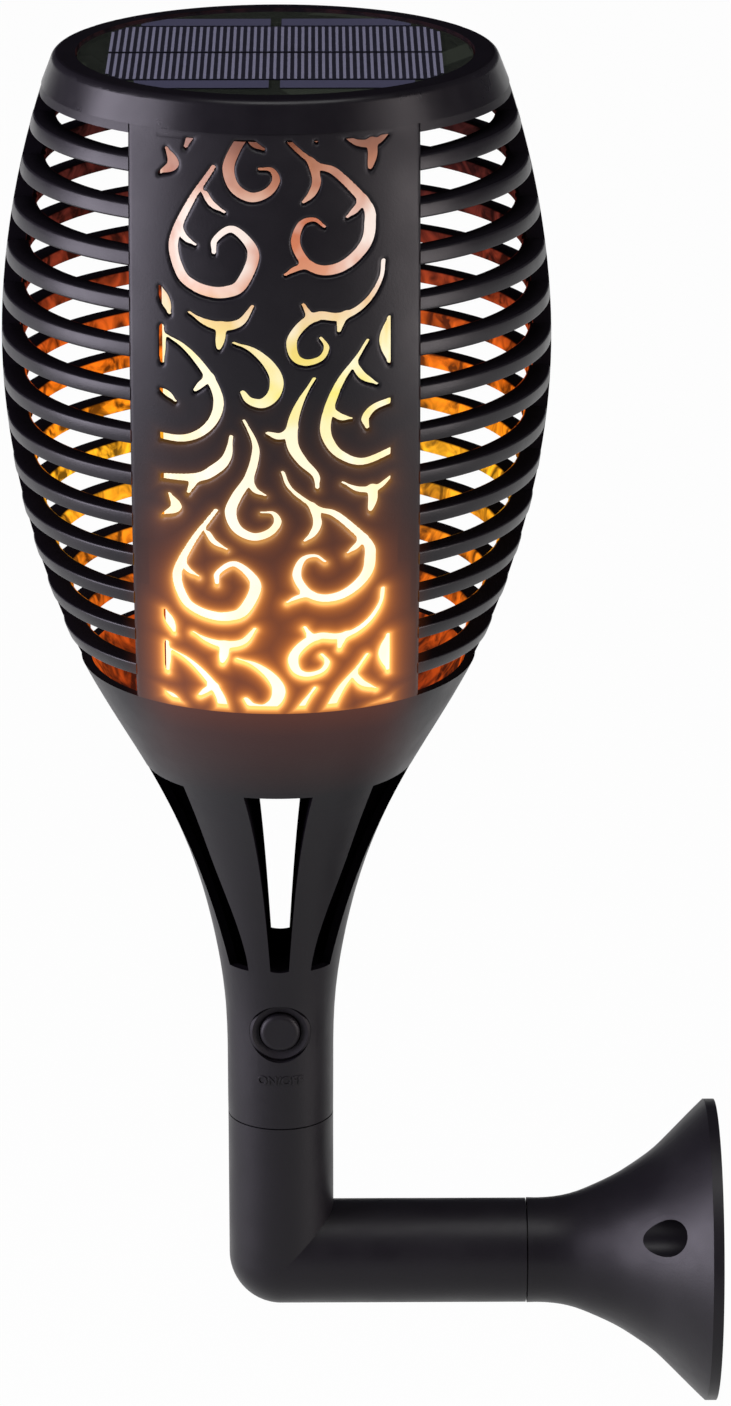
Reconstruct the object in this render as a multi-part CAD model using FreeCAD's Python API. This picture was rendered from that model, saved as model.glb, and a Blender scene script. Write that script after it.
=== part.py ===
import FreeCAD, Part
import math
import os

# A solar torch wall light. Millimetres. The origin is the centre of the flange's wall face,
# +X runs into the wall, -Y is the front with the switch button, and +Z is up.
# The arm lies on the X axis and the torch head stands on a vertical axis at HEAD_X.

# Bracket
HEAD_X = -100.0            # torch axis, measured out from the wall
TUBE_R = 12.0              # outside radius of the arm and of the torch tube
TUBE_BORE_R = 9.65         # bore that takes a spigot
SPIGOT_R = 9.58            # push-fit spigot, turns in TUBE_BORE_R
SPIGOT_WALL = 2.0
SPIGOT_LENGTH = 15.0
ARM_SEAM_X = -43.7         # where the arm enters the flange
SEAM_GAP = 0.3             # open joint at each end of the elbow
FLARE = [(ARM_SEAM_X + SEAM_GAP, 12.1), (-38.0, 12.2), (-33.0, 13.1), (-28.0, 15.0), (-22.2, 17.8),
         (-17.8, 20.6), (-14.1, 23.3), (-11.1, 26.1), (-8.3, 28.9), (-5.5, 31.7), (-2.4, 34.7)]
FLARE_WALL = 2.6           # wall of the trumpet, measured along the arm
RIM_WALL = 2.3
SCREW_CIRCLE_R = 25.0
SCREW_ANGLES = (30.0, 150.0, 270.0)
SCREW_HOLE_R = 2.25
WELL_R = 4.25
WELL_WALL = 1.4
WELL_FLOOR = 3.0

# Torch head: outside radius against height, from the tube to the cap
WALL = 2.2
TORCH_PROFILE = [(12.0, 35.6), (12.05, 50.0), (12.4, 62.0), (14.8, 79.4), (19.4, 97.3), (26.8, 115.3),
                 (36.7, 133.2), (45.5, 150.0), (53.2, 171.6), (58.0, 193.0), (60.0, 219.5),
                 (58.0, 243.3), (53.6, 264.3), (50.2, 275.6)]
NECK_FOOT_Z = TORCH_PROFILE[0][1]
HEAD_SEAM_Z = NECK_FOOT_Z - SEAM_GAP
CAGE_FOOT_Z = 146.4
CAGE_TOP_Z = TORCH_PROFILE[-1][1]
BOWL_FLOOR_Z = 124.0

# Front and back neck slots: half width against height
SLOT_SIDE = [(2.1, 74.7), (3.3, 91.0), (5.3, 109.0), (7.6, 122.0)]
SLOT_FOOT_DIP = 0.3
TUNNEL_WALL = 1.6
WEB_HALF = 1.0
# The four side slots lean outward. Seen square on at SIDE_SLOT_ANGLE from the front, their edges
# are (edge nearer the front, edge nearer the side, height).
SIDE_SLOT_ANGLE = 55.0
SIDE_SLOT = [(-5.8, -0.1, 74.2), (-4.8, 2.7, 89.0), (-3.6, 5.6, 100.0), (-4.2, 9.4, 111.0),
             (-6.0, 14.0, 122.0)]

# Cage
PANEL_HALF_WIDTH = 30.5
WINDOW_HALF_WIDTH = 24.2
WINDOW_TOP_Z = 274.3
SLAT_COUNT = 13
SLAT_LOW_Z = 154.0
SLAT_HIGH_Z = 267.7
SLAT_HEIGHT = 3.2
SLAT_DEPTH = 5.0
RIB_DEPTH = 4.0
RIB_HALF_WIDTH = 1.6
TOP_RING_HEIGHT = 1.8
TOP_RING_DEPTH = 4.0

# One repeat of the pierced scrollwork. Each scroll is (width at its start, in the middle, at its end,
# points), with the points measured from the panel's centre line and up from the foot of the repeat.
REPEAT_HEIGHT = 72.6
REPEAT_FOOT_Z = 202.4
SCROLLS = [
    # left volute with its two barbs
    (0.5, 2.3, 0.7, [(-12.2, 67.0), (-17.6, 58.7), (-21.0, 50.7), (-19.6, 44.5), (-16.8, 42.0), (-13.1, 40.9),
                     (-9.8, 41.1), (-7.0, 42.6), (-4.5, 47.7), (-5.1, 50.9), (-8.8, 53.9), (-12.3, 51.6),
                     (-12.6, 48.9)]),
    (1.4, 1.6, 0.5, [(-14.4, 60.9), (-13.0, 58.8), (-10.4, 57.3)]),
    (1.4, 1.6, 0.5, [(-19.8, 53.6), (-18.6, 51.6), (-16.5, 50.4)]),
    # right volute, which starts above the repeat, with its three barbs
    (0.6, 2.2, 0.6, [(1.5, 75.3), (3.3, 71.3), (8.8, 66.8), (13.0, 64.9), (19.2, 58.2), (19.9, 54.2),
                     (19.2, 50.7), (16.7, 47.7), (13.4, 45.8), (9.7, 45.5), (6.5, 47.2), (4.4, 51.2),
                     (5.6, 55.0), (8.3, 55.8), (10.4, 54.3)]),
    (1.6, 1.9, 0.9, [(7.6, 67.6), (8.8, 63.8), (7.9, 61.1), (6.1, 59.4)]),
    (1.6, 1.7, 0.5, [(18.6, 59.4), (17.0, 57.4), (15.2, 56.0)]),
    (1.6, 1.5, 0.6, [(7.4, 46.6), (4.6, 46.0), (2.3, 44.8)]),
    # stem scroll that hangs between the volutes, with its barb
    (0.6, 2.1, 0.7, [(-6.5, 14.0), (-4.4, 9.5), (-4.2, 6.3), (-5.6, 1.3), (-8.2, -3.0), (-9.5, -6.7),
                     (-8.2, -10.4), (-4.8, -12.2), (-1.4, -11.2), (0.4, -8.8), (-0.5, -6.7), (-3.0, -6.5)]),
    (1.4, 1.6, 0.7, [(-5.4, 1.0), (-4.4, -1.4), (-2.2, -2.6)]),
    # two leaves on stalks
    (0.5, 2.3, 0.8, [(-17.8, 36.4), (-14.5, 34.6), (-10.8, 33.9), (-7.1, 34.9), (-4.6, 38.3)]),
    (2.2, 2.0, 1.0, [(-11.1, 34.0), (-11.3, 31.5), (-11.7, 29.2)]),
    (0.5, 1.9, 1.0, [(14.1, -0.2), (17.6, -2.1), (21.4, -2.1), (24.2, 0.0)]),
    (2.2, 2.0, 1.0, [(20.3, -2.0), (20.5, -4.5), (20.0, -7.2)]),
    # hook
    (0.5, 2.9, 1.3, [(-8.5, 30.5), (-4.8, 29.2), (-1.5, 26.4), (0.3, 23.1), (-0.2, 19.8), (-2.5, 17.8),
                     (-5.3, 18.3), (-6.7, 20.1)]),
    # branch that runs off the left edge, with its barb
    (0.8, 2.2, 2.0, [(-22.7, 31.2), (-19.2, 29.3), (-16.0, 26.2), (-13.2, 22.2), (-11.8, 18.0), (-12.8, 14.0),
                     (-15.7, 10.8), (-19.9, 9.2), (-26.0, 9.6)]),
    (1.6, 1.8, 1.0, [(-13.4, 23.2), (-15.0, 21.8), (-16.7, 20.0)]),
    # right branch that curls in, with its two barbs
    (0.6, 2.3, 0.8, [(22.7, 46.7), (22.2, 43.1), (19.9, 39.2), (16.6, 36.6), (12.9, 35.7), (9.2, 36.1),
                     (5.9, 34.4), (3.6, 31.2), (4.1, 27.8), (6.4, 26.4), (9.6, 27.2), (10.8, 29.5),
                     (9.6, 31.5)]),
    (1.5, 1.4, 0.5, [(8.6, 35.6), (7.2, 36.6), (6.0, 38.6)]),
    (1.8, 1.6, 0.6, [(15.0, 36.2), (13.9, 34.6), (13.4, 32.7)]),
    # right branch that runs off the right edge, with its two barbs
    (0.5, 2.3, 2.0, [(19.4, 30.4), (17.1, 26.8), (13.8, 22.3), (11.5, 17.1), (10.5, 12.3), (11.3, 9.0),
                     (13.7, 6.0), (18.4, 4.1), (25.2, 6.2)]),
    (1.6, 1.9, 0.6, [(16.6, 25.4), (18.4, 22.8), (21.3, 20.9)]),
    (1.6, 1.9, 0.5, [(11.4, 16.2), (13.6, 14.4), (15.9, 13.9)]),
    # bud and arc on the right edge
    (0.5, 2.8, 0.5, [(23.9, 34.8), (23.2, 30.1), (23.9, 25.2)]),
    (1.8, 1.9, 0.8, [(25.0, 17.2), (20.8, 15.9), (18.9, 13.7), (19.3, 11.5)]),
    # wavy stem with its leaf
    (0.5, 2.6, 0.7, [(8.2, 23.0), (5.4, 18.3), (3.7, 13.5), (3.6, 8.7), (5.6, 5.0), (8.4, 1.8), (8.8, -1.2)]),
    (1.8, 2.0, 1.1, [(3.8, 12.4), (1.2, 10.6), (-1.6, 11.3)]),
    # lower branch that runs off the left edge, with its barb
    (0.5, 2.7, 1.6, [(-9.2, 10.5), (-10.2, 5.7), (-12.8, 2.8), (-16.7, 0.8), (-26.0, 0.3)]),
    (1.6, 1.5, 0.5, [(-16.0, 1.0), (-17.4, -0.8), (-18.4, -2.8)]),
    # leaves and buds on the left edge
    (0.6, 2.2, 0.5, [(-23.9, 41.2), (-22.9, 38.6), (-22.0, 35.8)]),
    (0.5, 2.2, 0.5, [(-23.6, 33.2), (-23.9, 29.6), (-23.6, 25.4)]),
    (0.5, 1.7, 0.4, [(-24.4, 19.8), (-22.6, 18.8), (-20.9, 17.3)]),
    (0.5, 2.4, 0.7, [(-22.4, -3.4), (-21.0, -6.4), (-23.8, -8.4)]),
]

# Light chamber
DIFFUSER_R = 25.0
DIFFUSER_WALL = 1.4
DIFFUSER_TOP_Z = 268.0
BASE_R = 29.5
BASE_THICKNESS = 2.0
BASE_RING_HEIGHT = 5.0
CORE_R = 15.0
CORE_BORE_R = 12.5
CORE_TOP_Z = 262.0
FLEX_THICKNESS = 0.25
LED_COLUMNS = 12
LED_ROWS = 10
LED_SIZE = 2.8
LED_HEIGHT = 0.9
LED_LOW_Z = 143.0
LED_PITCH = 11.5
CELL_R = 9.2               # 18650 cell
CELL_LENGTH = 65.0
CELL_FOOT_Z = 150.0
CELL_BUTTON_R = 3.0
CELL_BUTTON_HEIGHT = 1.5
HOLDER_PLATE = 3.0
BASE_Z = BOWL_FLOOR_Z + WALL
TUBE_FOOT_Z = BASE_Z + BASE_THICKNESS
CORE_FOOT_Z = TUBE_FOOT_Z
CORE_FLANGE = 4.0
CORE_FLANGE_HEIGHT = 1.6

# Wires
LEAD_R = 0.6
LEAD_HOLE_R = 1.6
LEAD_HOLES = ((13.0, 4.0), (13.0, -4.0))          # through the bowl floor and the core's foot
LEAD_NOTCH_HEIGHT = 8.0                           # where the wires pass through the core's wall
LEAD_PATH_IN_CORE = ((10.0, 4.2), (10.0, -4.2))
CORE_LEAD_HOLE_R = 1.3
LEAD_EYE_X = 5.2                                  # where the wires rise through the lid
BATTERY_LEAD_X = (-5.0, 5.0)
SOLAR_LEAD_X = (-4.0, 4.0)
SOLAR_LEAD_Y = 12.0
SOLAR_LEAD_HOLE_R = 1.2

# Solar cap
CAP_FOOT_R = 50.4
CAP_SIDE_TOP_Z = 281.0
CAP_TOP_R = 47.4
CAP_TOP_Z = 282.3
CAP_SKIRT_BORE_R = 46.2
CAP_SPIGOT_R = 46.1
CAP_SPIGOT_WALL = 1.4
CAP_SPIGOT_DROP = 2.2
CAP_PLATE_Z = 278.7
RECESS_R = 43.0
RECESS_DEPTH = 1.8
SOLAR_BOARD_R = 42.6
SOLAR_BOARD_THICKNESS = 1.0
SOLAR_CELL_THICKNESS = 0.25
SOLAR_RESIN_THICKNESS = 0.6
SOLAR_ROW_DEPTH = 25.5
SOLAR_ROW_GAP = 1.0
SOLAR_HALF_WIDTH = 35.6
SOLAR_BUS_DEPTH = 7.0
TRAY_R = 40.0
TRAY_FOOT_Z = 271.5
TRAY_WALL = 1.8
SEAL_HEIGHT = 0.6
BOSS_CIRCLE_R = 35.0
BOSS_R = 2.8
CONTROL_BOARD_R = 29.0
CONTROL_BOARD_Z = 274.4
BOARD_THICKNESS = 1.2
BOARD_SCREW_X = (-24.0, 24.0)
BOARD_SCREW_R = 0.9
CAP_SCREW_R = 1.25
SCREW_SLOT_HALF = 0.3
CABLE_EYE_R = 8.0          # hole through the diffuser's lid and the tray for the wires

# Switch in the torch tube
BUTTON_Z = 58.8
BEZEL_R = 6.9
BEZEL_SEAT_Y = -9.4
BEZEL_FRONT_Y = -11.0
BEZEL_PLAY = 0.1
PAD_R = 8.2
PAD_BACK_Y = -7.6
BUTTON_R = 4.5
BUTTON_GAP = 0.3
BUTTON_FRONT_Y = -11.7
BUTTON_FLANGE_R = 5.6
BUTTON_FLANGE = 0.8
BUTTON_TRAVEL = 1.2
SWITCH_HALF = 3.0
SWITCH_FRONT_Y = -4.0
SWITCH_BACK_Y = -0.5
PLUNGER_R = 1.75
PLUNGER_BORE_R = 1.83
SWITCH_BOARD_HALF_WIDTH = 4.5
SWITCH_BOARD_HALF_HEIGHT = 9.0
SWITCH_POST_OFFSET = 6.4
SWITCH_POST_R = 2.0
SWITCH_SCREW_R = 1.0
SWITCH_SCREW_END_Y = 6.0

FAR = 200.0                # longer than any cut needs
CLEAR = 1.0                # how far a cut runs past a face
HAIR = 0.05                # play between screws and the boards they hold


def at(x, y, z):
    """A point given from the torch axis."""
    return FreeCAD.Vector(HEAD_X + x, y, z)


def rod(radius, start, end):
    """A round bar from one point to another."""
    run = end - start
    return Part.makeCylinder(radius, run.Length, start, run)


def pipe(radius, bore, start, end):
    return rod(radius, start, end).cut(rod(bore, start, end))


def upright(radius, foot, top, x=0.0, y=0.0):
    """A round bar that stands on the torch axis or beside it."""
    return rod(radius, at(x, y, foot), at(x, y, top))


def upright_pipe(radius, bore, foot, top):
    return upright(radius, foot, top).cut(upright(bore, foot, top))


def block(x_low, x_high, y_low, y_high, z_low, z_high):
    corner = at(x_low, y_low, z_low)
    return Part.makeBox(x_high - x_low, y_high - y_low, z_high - z_low, corner)


def smooth(points):
    curve = Part.BSplineCurve()
    curve.interpolate(points)
    return curve


def lines(points):
    return [Part.LineSegment(a, b).toShape() for a, b in zip(points, points[1:])]


def solid_of_wire(edges, centre, axis):
    """The solid that a closed outline sweeps in a full turn."""
    face = Part.Face(Part.Wire(edges))
    return face.revolve(centre, axis, 360.0)


def together(shapes):
    whole = shapes[0]
    for shape in shapes[1:]:
        whole = whole.fuse(shape)
    return whole.removeSplitter()


def turned(shape, angle):
    """A copy turned about the torch axis."""
    copy = shape.copy()
    copy.rotate(at(0, 0, 0), FreeCAD.Vector(0, 0, 1), angle)
    return copy


# ---------------------------------------------------------------- bracket

def flare_body(shift, inset):
    """Solid trumpet under the flare curve, moved towards the wall by shift and in by inset."""
    curve = [FreeCAD.Vector(x + shift, 0, radius - inset) for x, radius in FLARE]
    edges = [smooth(curve).toShape()]
    rim = FreeCAD.Vector(0, 0, curve[-1].z)
    edges += lines([curve[-1], rim, FreeCAD.Vector(0, 0, 0), FreeCAD.Vector(curve[0].x, 0, 0), curve[0]])
    return solid_of_wire(edges, FreeCAD.Vector(0, 0, 0), FreeCAD.Vector(1, 0, 0))


def screw_place(angle):
    turn = math.radians(angle)
    return FreeCAD.Vector(0, -SCREW_CIRCLE_R * math.cos(turn), SCREW_CIRCLE_R * math.sin(turn))


def along_arm(radius, x_start, x_end, place=None):
    place = place or FreeCAD.Vector(0, 0, 0)
    return rod(radius, place + FreeCAD.Vector(x_start, 0, 0), place + FreeCAD.Vector(x_end, 0, 0))


def wall_flange():
    """Trumpet shell with three screw wells and a socket for the arm."""
    outside = flare_body(0.0, 0.0)
    socket_end = ARM_SEAM_X + SPIGOT_LENGTH
    hollow = flare_body(FLARE_WALL, RIM_WALL).common(along_arm(FAR, socket_end + 2.0, 0.0))
    shell = outside.cut(hollow)
    for angle in SCREW_ANGLES:
        place = screw_place(angle)
        column = along_arm(WELL_R + WELL_WALL, -FAR / 4, 0.0, place).common(outside)
        shell = shell.fuse(column)
    for angle in SCREW_ANGLES:
        place = screw_place(angle)
        shell = shell.cut(along_arm(WELL_R, -FAR / 4, -WELL_FLOOR, place))
        shell = shell.cut(along_arm(SCREW_HOLE_R, -FAR / 4, 1.0, place))
    shell = shell.cut(along_arm(TUBE_BORE_R, ARM_SEAM_X - 1.0, socket_end))
    shell = shell.cut(along_arm(SPIGOT_R - SPIGOT_WALL, ARM_SEAM_X - 1.0, 1.0))
    return shell.removeSplitter()


def arm_elbow():
    """Bent tube with a socket for the torch and a spigot for the flange."""
    corner = at(0, 0, 0)
    seam = FreeCAD.Vector(ARM_SEAM_X, 0, 0)
    top = at(0, 0, HEAD_SEAM_Z)
    outside = together([Part.makeSphere(TUBE_R, corner), rod(TUBE_R, corner, top), rod(TUBE_R, corner, seam)])
    spigot_end = FreeCAD.Vector(ARM_SEAM_X + SPIGOT_LENGTH, 0, 0)
    outside = outside.fuse(rod(SPIGOT_R, seam, spigot_end))
    bore_r = SPIGOT_R - SPIGOT_WALL
    bore = together([Part.makeSphere(bore_r, corner), rod(bore_r, corner, top),
                     rod(bore_r, corner, spigot_end)])
    socket_floor = at(0, 0, NECK_FOOT_Z - SPIGOT_LENGTH - 0.5)
    return outside.cut(bore).cut(rod(TUBE_BORE_R, socket_floor, top)).removeSplitter()


# ---------------------------------------------------------------- torch head

def torch_body(inset, foot, top):
    """Solid torch shape, drawn in by inset and cut off level at foot and top."""
    curve = [at(radius - inset, 0, z) for radius, z in TORCH_PROFILE]
    edges = [smooth(curve).toShape()]
    edges += lines([curve[-1], at(0, 0, CAGE_TOP_Z), at(0, 0, NECK_FOOT_Z), curve[0]])
    whole = solid_of_wire(edges, at(0, 0, 0), FreeCAD.Vector(0, 0, 1))
    if foot <= NECK_FOOT_Z and top >= CAGE_TOP_Z:
        return whole
    return whole.common(upright(FAR, foot, top))


def torch_shell(depth, foot, top):
    return torch_body(0.0, foot, top).cut(torch_body(depth, foot, top))


def mirrored(shape, normal):
    """A copy reflected in an upright plane through the torch axis."""
    return shape.mirror(at(0, 0, 0), normal)


def slot_prism(extra):
    """Front slot's outline carried right through the neck, wider by extra all round."""
    right = [at(half + extra, -FAR / 4, z) for half, z in SLOT_SIDE]
    left = [at(-half - extra, -FAR / 4, z) for half, z in SLOT_SIDE]
    foot = at(0, -FAR / 4, SLOT_SIDE[0][1] - extra - SLOT_FOOT_DIP)
    foot_arc = Part.Arc(left[0], foot, right[0]).toShape()
    top_right = right[-1] + FreeCAD.Vector(0, 0, extra)
    top_left = left[-1] + FreeCAD.Vector(0, 0, extra)
    edges = [foot_arc, smooth(right).toShape()]
    edges += lines([right[-1], top_right, top_left, left[-1]] if extra else [right[-1], left[-1]])
    edges += [smooth(left[::-1]).toShape()]
    return Part.Face(Part.Wire(edges)).extrude(FreeCAD.Vector(0, FAR / 2, 0))


def side_slots():
    """Cutters for the four side slots, as deep as the wall."""
    front_edge = [at(front, -FAR / 4, z) for front, _, z in SIDE_SLOT]
    side_edge = [at(side, -FAR / 4, z) for _, side, z in SIDE_SLOT]
    edges = [smooth(side_edge).toShape()] + lines([side_edge[-1], front_edge[-1]])
    edges += [smooth(front_edge[::-1]).toShape()] + lines([front_edge[0], side_edge[0]])
    prism = Part.Face(Part.Wire(edges)).extrude(FreeCAD.Vector(0, FAR / 4, 0))
    skin = torch_shell(WALL + HAIR, NECK_FOOT_Z, CAGE_FOOT_Z)
    right = turned(prism, SIDE_SLOT_ANGLE).common(skin)
    left = mirrored(right, FreeCAD.Vector(1, 0, 0))
    behind = FreeCAD.Vector(0, 1, 0)
    return [right, left, mirrored(right, behind), mirrored(left, behind)]


def switch_post_heights():
    return [BUTTON_Z + side * SWITCH_POST_OFFSET for side in (-1, 1)]


def neck_moulding():
    """Neck before its holes: shell, bowl floor, tunnel and web, spigot, button pad and posts."""
    shell = torch_shell(WALL, NECK_FOOT_Z, CAGE_FOOT_Z)
    inside = torch_body(WALL / 2, NECK_FOOT_Z, BOWL_FLOOR_Z + WALL / 2)
    floor = torch_body(WALL / 2, BOWL_FLOOR_Z, BOWL_FLOOR_Z + WALL)
    tunnel = slot_prism(TUNNEL_WALL).common(inside)
    web = block(-FAR / 4, FAR / 4, -WEB_HALF, WEB_HALF, SLOT_SIDE[0][1], BOWL_FLOOR_Z + WALL / 2).common(inside)
    collar_top = NECK_FOOT_Z + SPIGOT_WALL
    spigot = upright_pipe(SPIGOT_R, SPIGOT_R - SPIGOT_WALL, NECK_FOOT_Z - SPIGOT_LENGTH, collar_top)
    collar = upright_pipe(TUBE_R - WALL / 2, SPIGOT_R - SPIGOT_WALL, NECK_FOOT_Z, collar_top)
    pad = rod(PAD_R, at(0, -TUBE_R, BUTTON_Z), at(0, PAD_BACK_Y, BUTTON_Z)).common(
        upright(TUBE_R - WALL / 4, BUTTON_Z - 2 * PAD_R, BUTTON_Z + 2 * PAD_R))
    posts = [rod(SWITCH_POST_R, at(0, SWITCH_BACK_Y + BOARD_THICKNESS, z), at(0, TUBE_R - WALL / 2, z))
             for z in switch_post_heights()]
    return together([shell, floor, tunnel, web, spigot, collar, pad] + posts)


def torch_neck():
    """Tube, slotted cone and bowl in one moulding, with the tunnel and web behind the slots."""
    neck = neck_moulding().cut(o_ring_groove()).cut(slot_prism(0.0))
    for slot in side_slots():
        neck = neck.cut(slot)
    neck = neck.cut(rod(BEZEL_R + BEZEL_PLAY, at(0, -TUBE_R - CLEAR, BUTTON_Z), at(0, BEZEL_SEAT_Y, BUTTON_Z)))
    neck = neck.cut(rod(BUTTON_R + BUTTON_GAP, at(0, -TUBE_R, BUTTON_Z), at(0, PAD_BACK_Y + CLEAR, BUTTON_Z)))
    for z in switch_post_heights():
        neck = neck.cut(rod(SWITCH_SCREW_R, at(0, SWITCH_BACK_Y, z), at(0, SWITCH_SCREW_END_Y + CLEAR, z)))
    for x, y in LEAD_HOLES:
        neck = neck.cut(upright(LEAD_HOLE_R, BOWL_FLOOR_Z - CLEAR, BOWL_FLOOR_Z + WALL + CLEAR, x, y))
    return neck.removeSplitter()


def o_ring_groove():
    z = NECK_FOOT_Z - SPIGOT_LENGTH / 2
    return upright_pipe(SPIGOT_R + 1.0, SPIGOT_R - 1.1, z - 0.9, z + 0.9)


def swivel_o_ring():
    """Rubber ring that gives the torch its friction in the elbow."""
    return Part.makeTorus(SPIGOT_R - 0.55, 0.52, at(0, 0, NECK_FOOT_Z - SPIGOT_LENGTH / 2))


def scroll_prism(scroll, foot_z):
    """One scroll of the pattern as a cutter that points through the panel from the front."""
    start_width, middle_width, end_width, points = scroll
    centre = smooth([at(x, 0, foot_z + z) for x, z in points])
    left = []
    right = []
    for step in range(len(points) + 1):
        share = step / len(points)
        parameter = centre.FirstParameter + share * (centre.LastParameter - centre.FirstParameter)
        swell = math.sin(math.pi * share)
        tip = start_width if share < 0.5 else end_width
        half = (tip + (middle_width - tip) * swell) / 2
        along = centre.tangent(parameter)[0]
        across = FreeCAD.Vector(-along.z, 0, along.x)
        here = centre.value(parameter)
        left.append(here + across * half)
        right.append(here - across * half)
    edges = [smooth(left).toShape()] + lines([left[-1], right[-1]])
    edges += [smooth(right[::-1]).toShape()] + lines([right[0], left[0]])
    face = Part.Face(Part.Wire(edges))
    face.translate(FreeCAD.Vector(0, -FAR / 3, 0))
    return face.extrude(FreeCAD.Vector(0, FAR / 3 - DIFFUSER_R, 0))


def pattern_cutters():
    """Every scroll of the repeats that reaches into the window."""
    cutters = []
    for repeat in (1, 0, -1):
        foot_z = REPEAT_FOOT_Z + repeat * REPEAT_HEIGHT
        for scroll in SCROLLS:
            heights = [foot_z + z for _, z in scroll[3]]
            if min(heights) < WINDOW_TOP_Z - 0.5 and max(heights) > CAGE_FOOT_Z + 0.5:
                cutters.append(scroll_prism(scroll, foot_z))
    return cutters


def pierced_panel():
    """Curved strip of the cage with the scrollwork cut through it from the front."""
    strip = torch_shell(WALL, CAGE_FOOT_Z, CAGE_TOP_Z).common(
        block(-PANEL_HALF_WIDTH, PANEL_HALF_WIDTH, -FAR / 2, 0, CAGE_FOOT_Z, CAGE_TOP_Z))
    window = block(-WINDOW_HALF_WIDTH, WINDOW_HALF_WIDTH, -FAR / 2, 0, CAGE_FOOT_Z, WINDOW_TOP_Z)
    border = strip.cut(window)
    pierced = strip.common(window).cut(pattern_cutters())
    return border.fuse(pierced).removeSplitter()


def slat_heights():
    pitch = (SLAT_HIGH_Z - SLAT_LOW_Z) / (SLAT_COUNT - 1)
    return [SLAT_LOW_Z + pitch * number for number in range(SLAT_COUNT)]


def slat_rings():
    shell = torch_shell(SLAT_DEPTH, CAGE_FOOT_Z, CAGE_TOP_Z)
    slabs = [upright(FAR, z - SLAT_HEIGHT / 2, z + SLAT_HEIGHT / 2) for z in slat_heights()]
    return [shell.common(slab) for slab in slabs]


def slat_quarter(rings, side, front):
    """The slats between one panel's edge and one side rib."""
    x_low, x_high = sorted((side * PANEL_HALF_WIDTH, side * FAR / 2))
    y_low, y_high = sorted((front * RIB_HALF_WIDTH, front * FAR / 2))
    corner = block(x_low, x_high, y_low, y_high, CAGE_FOOT_Z, CAGE_TOP_Z)
    return Part.makeCompound([ring.common(corner).Solids[0] for ring in rings])


def side_rib(side):
    """Upright rib that ties the slats together half way round."""
    x_low, x_high = sorted((side * PANEL_HALF_WIDTH, side * FAR / 2))
    top = CAGE_TOP_Z - TOP_RING_HEIGHT
    edge = block(x_low, x_high, -RIB_HALF_WIDTH, RIB_HALF_WIDTH, CAGE_FOOT_Z, top)
    return torch_shell(RIB_DEPTH, CAGE_FOOT_Z, top).common(edge)


def cage_top_ring():
    """Ring that closes the cage between the panels and carries the cap."""
    ring = torch_shell(TOP_RING_DEPTH, CAGE_TOP_Z - TOP_RING_HEIGHT, CAGE_TOP_Z)
    front_and_back = torch_shell(WALL, CAGE_FOOT_Z, CAGE_TOP_Z).common(
        block(-PANEL_HALF_WIDTH, PANEL_HALF_WIDTH, -FAR / 2, FAR / 2, CAGE_FOOT_Z, CAGE_TOP_Z))
    return ring.cut(front_and_back)


# ---------------------------------------------------------------- light chamber

def lead_holes(foot, top):
    return [upright(LEAD_HOLE_R, foot, top, x, y) for x, y in LEAD_HOLES]


def diffuser_base():
    """Disc on the bowl floor that centres the diffuser and the core."""
    disc = upright(BASE_R, BASE_Z, TUBE_FOOT_Z)
    ring_r = DIFFUSER_R - DIFFUSER_WALL - 0.1
    ring = upright_pipe(ring_r, ring_r - 1.6, BASE_Z, TUBE_FOOT_Z + BASE_RING_HEIGHT)
    return disc.fuse(ring).cut(lead_holes(BASE_Z - CLEAR, TUBE_FOOT_Z + CLEAR)).removeSplitter()


def diffuser_tube():
    return upright_pipe(DIFFUSER_R, DIFFUSER_R - DIFFUSER_WALL, TUBE_FOOT_Z, DIFFUSER_TOP_Z)


def diffuser_top():
    """Lid of the diffuser, with the collar that hangs it from the tray."""
    lid = upright(DIFFUSER_R + 0.6, DIFFUSER_TOP_Z, DIFFUSER_TOP_Z + 2.0)
    collar = upright(18.0, DIFFUSER_TOP_Z, TRAY_FOOT_Z)
    plug = upright(CORE_BORE_R - 0.1, CORE_TOP_Z - 3.0, DIFFUSER_TOP_Z)
    return together([lid, collar, plug]).cut(upright(CABLE_EYE_R, CORE_TOP_Z - 4.0, TRAY_FOOT_Z + CLEAR))


def led_core():
    """Stiff tube that carries the light strip outside and the cell inside."""
    tube = upright_pipe(CORE_R, CORE_BORE_R, CORE_FOOT_Z, CORE_TOP_Z)
    foot = upright_pipe(CORE_R + CORE_FLANGE, CORE_BORE_R, CORE_FOOT_Z, CORE_FOOT_Z + CORE_FLANGE_HEIGHT)
    notches = lead_holes(CORE_FOOT_Z - CLEAR, CORE_FOOT_Z + LEAD_NOTCH_HEIGHT)
    return tube.fuse(foot).cut(notches).removeSplitter()


def led_flex_board():
    top = LED_LOW_Z + LED_PITCH * (LED_ROWS - 1) + 6.0
    return upright_pipe(CORE_R + FLEX_THICKNESS, CORE_R, LED_LOW_Z - 6.0, top)


def led_chips():
    """Staggered rows of light-emitting diodes round the core."""
    chips = []
    start = CORE_R + FLEX_THICKNESS
    for row in range(LED_ROWS):
        z = LED_LOW_Z + LED_PITCH * row
        for column in range(LED_COLUMNS):
            angle = 360.0 / LED_COLUMNS * (column + 0.5 * (row % 2))
            chip = block(-LED_SIZE / 2, LED_SIZE / 2, -start - LED_HEIGHT, -start + 0.02,
                         z - LED_SIZE / 2, z + LED_SIZE / 2)
            chips.append(turned(chip.cut(upright(start, z - LED_SIZE, z + LED_SIZE)), angle))
    return Part.makeCompound(chips)


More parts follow.
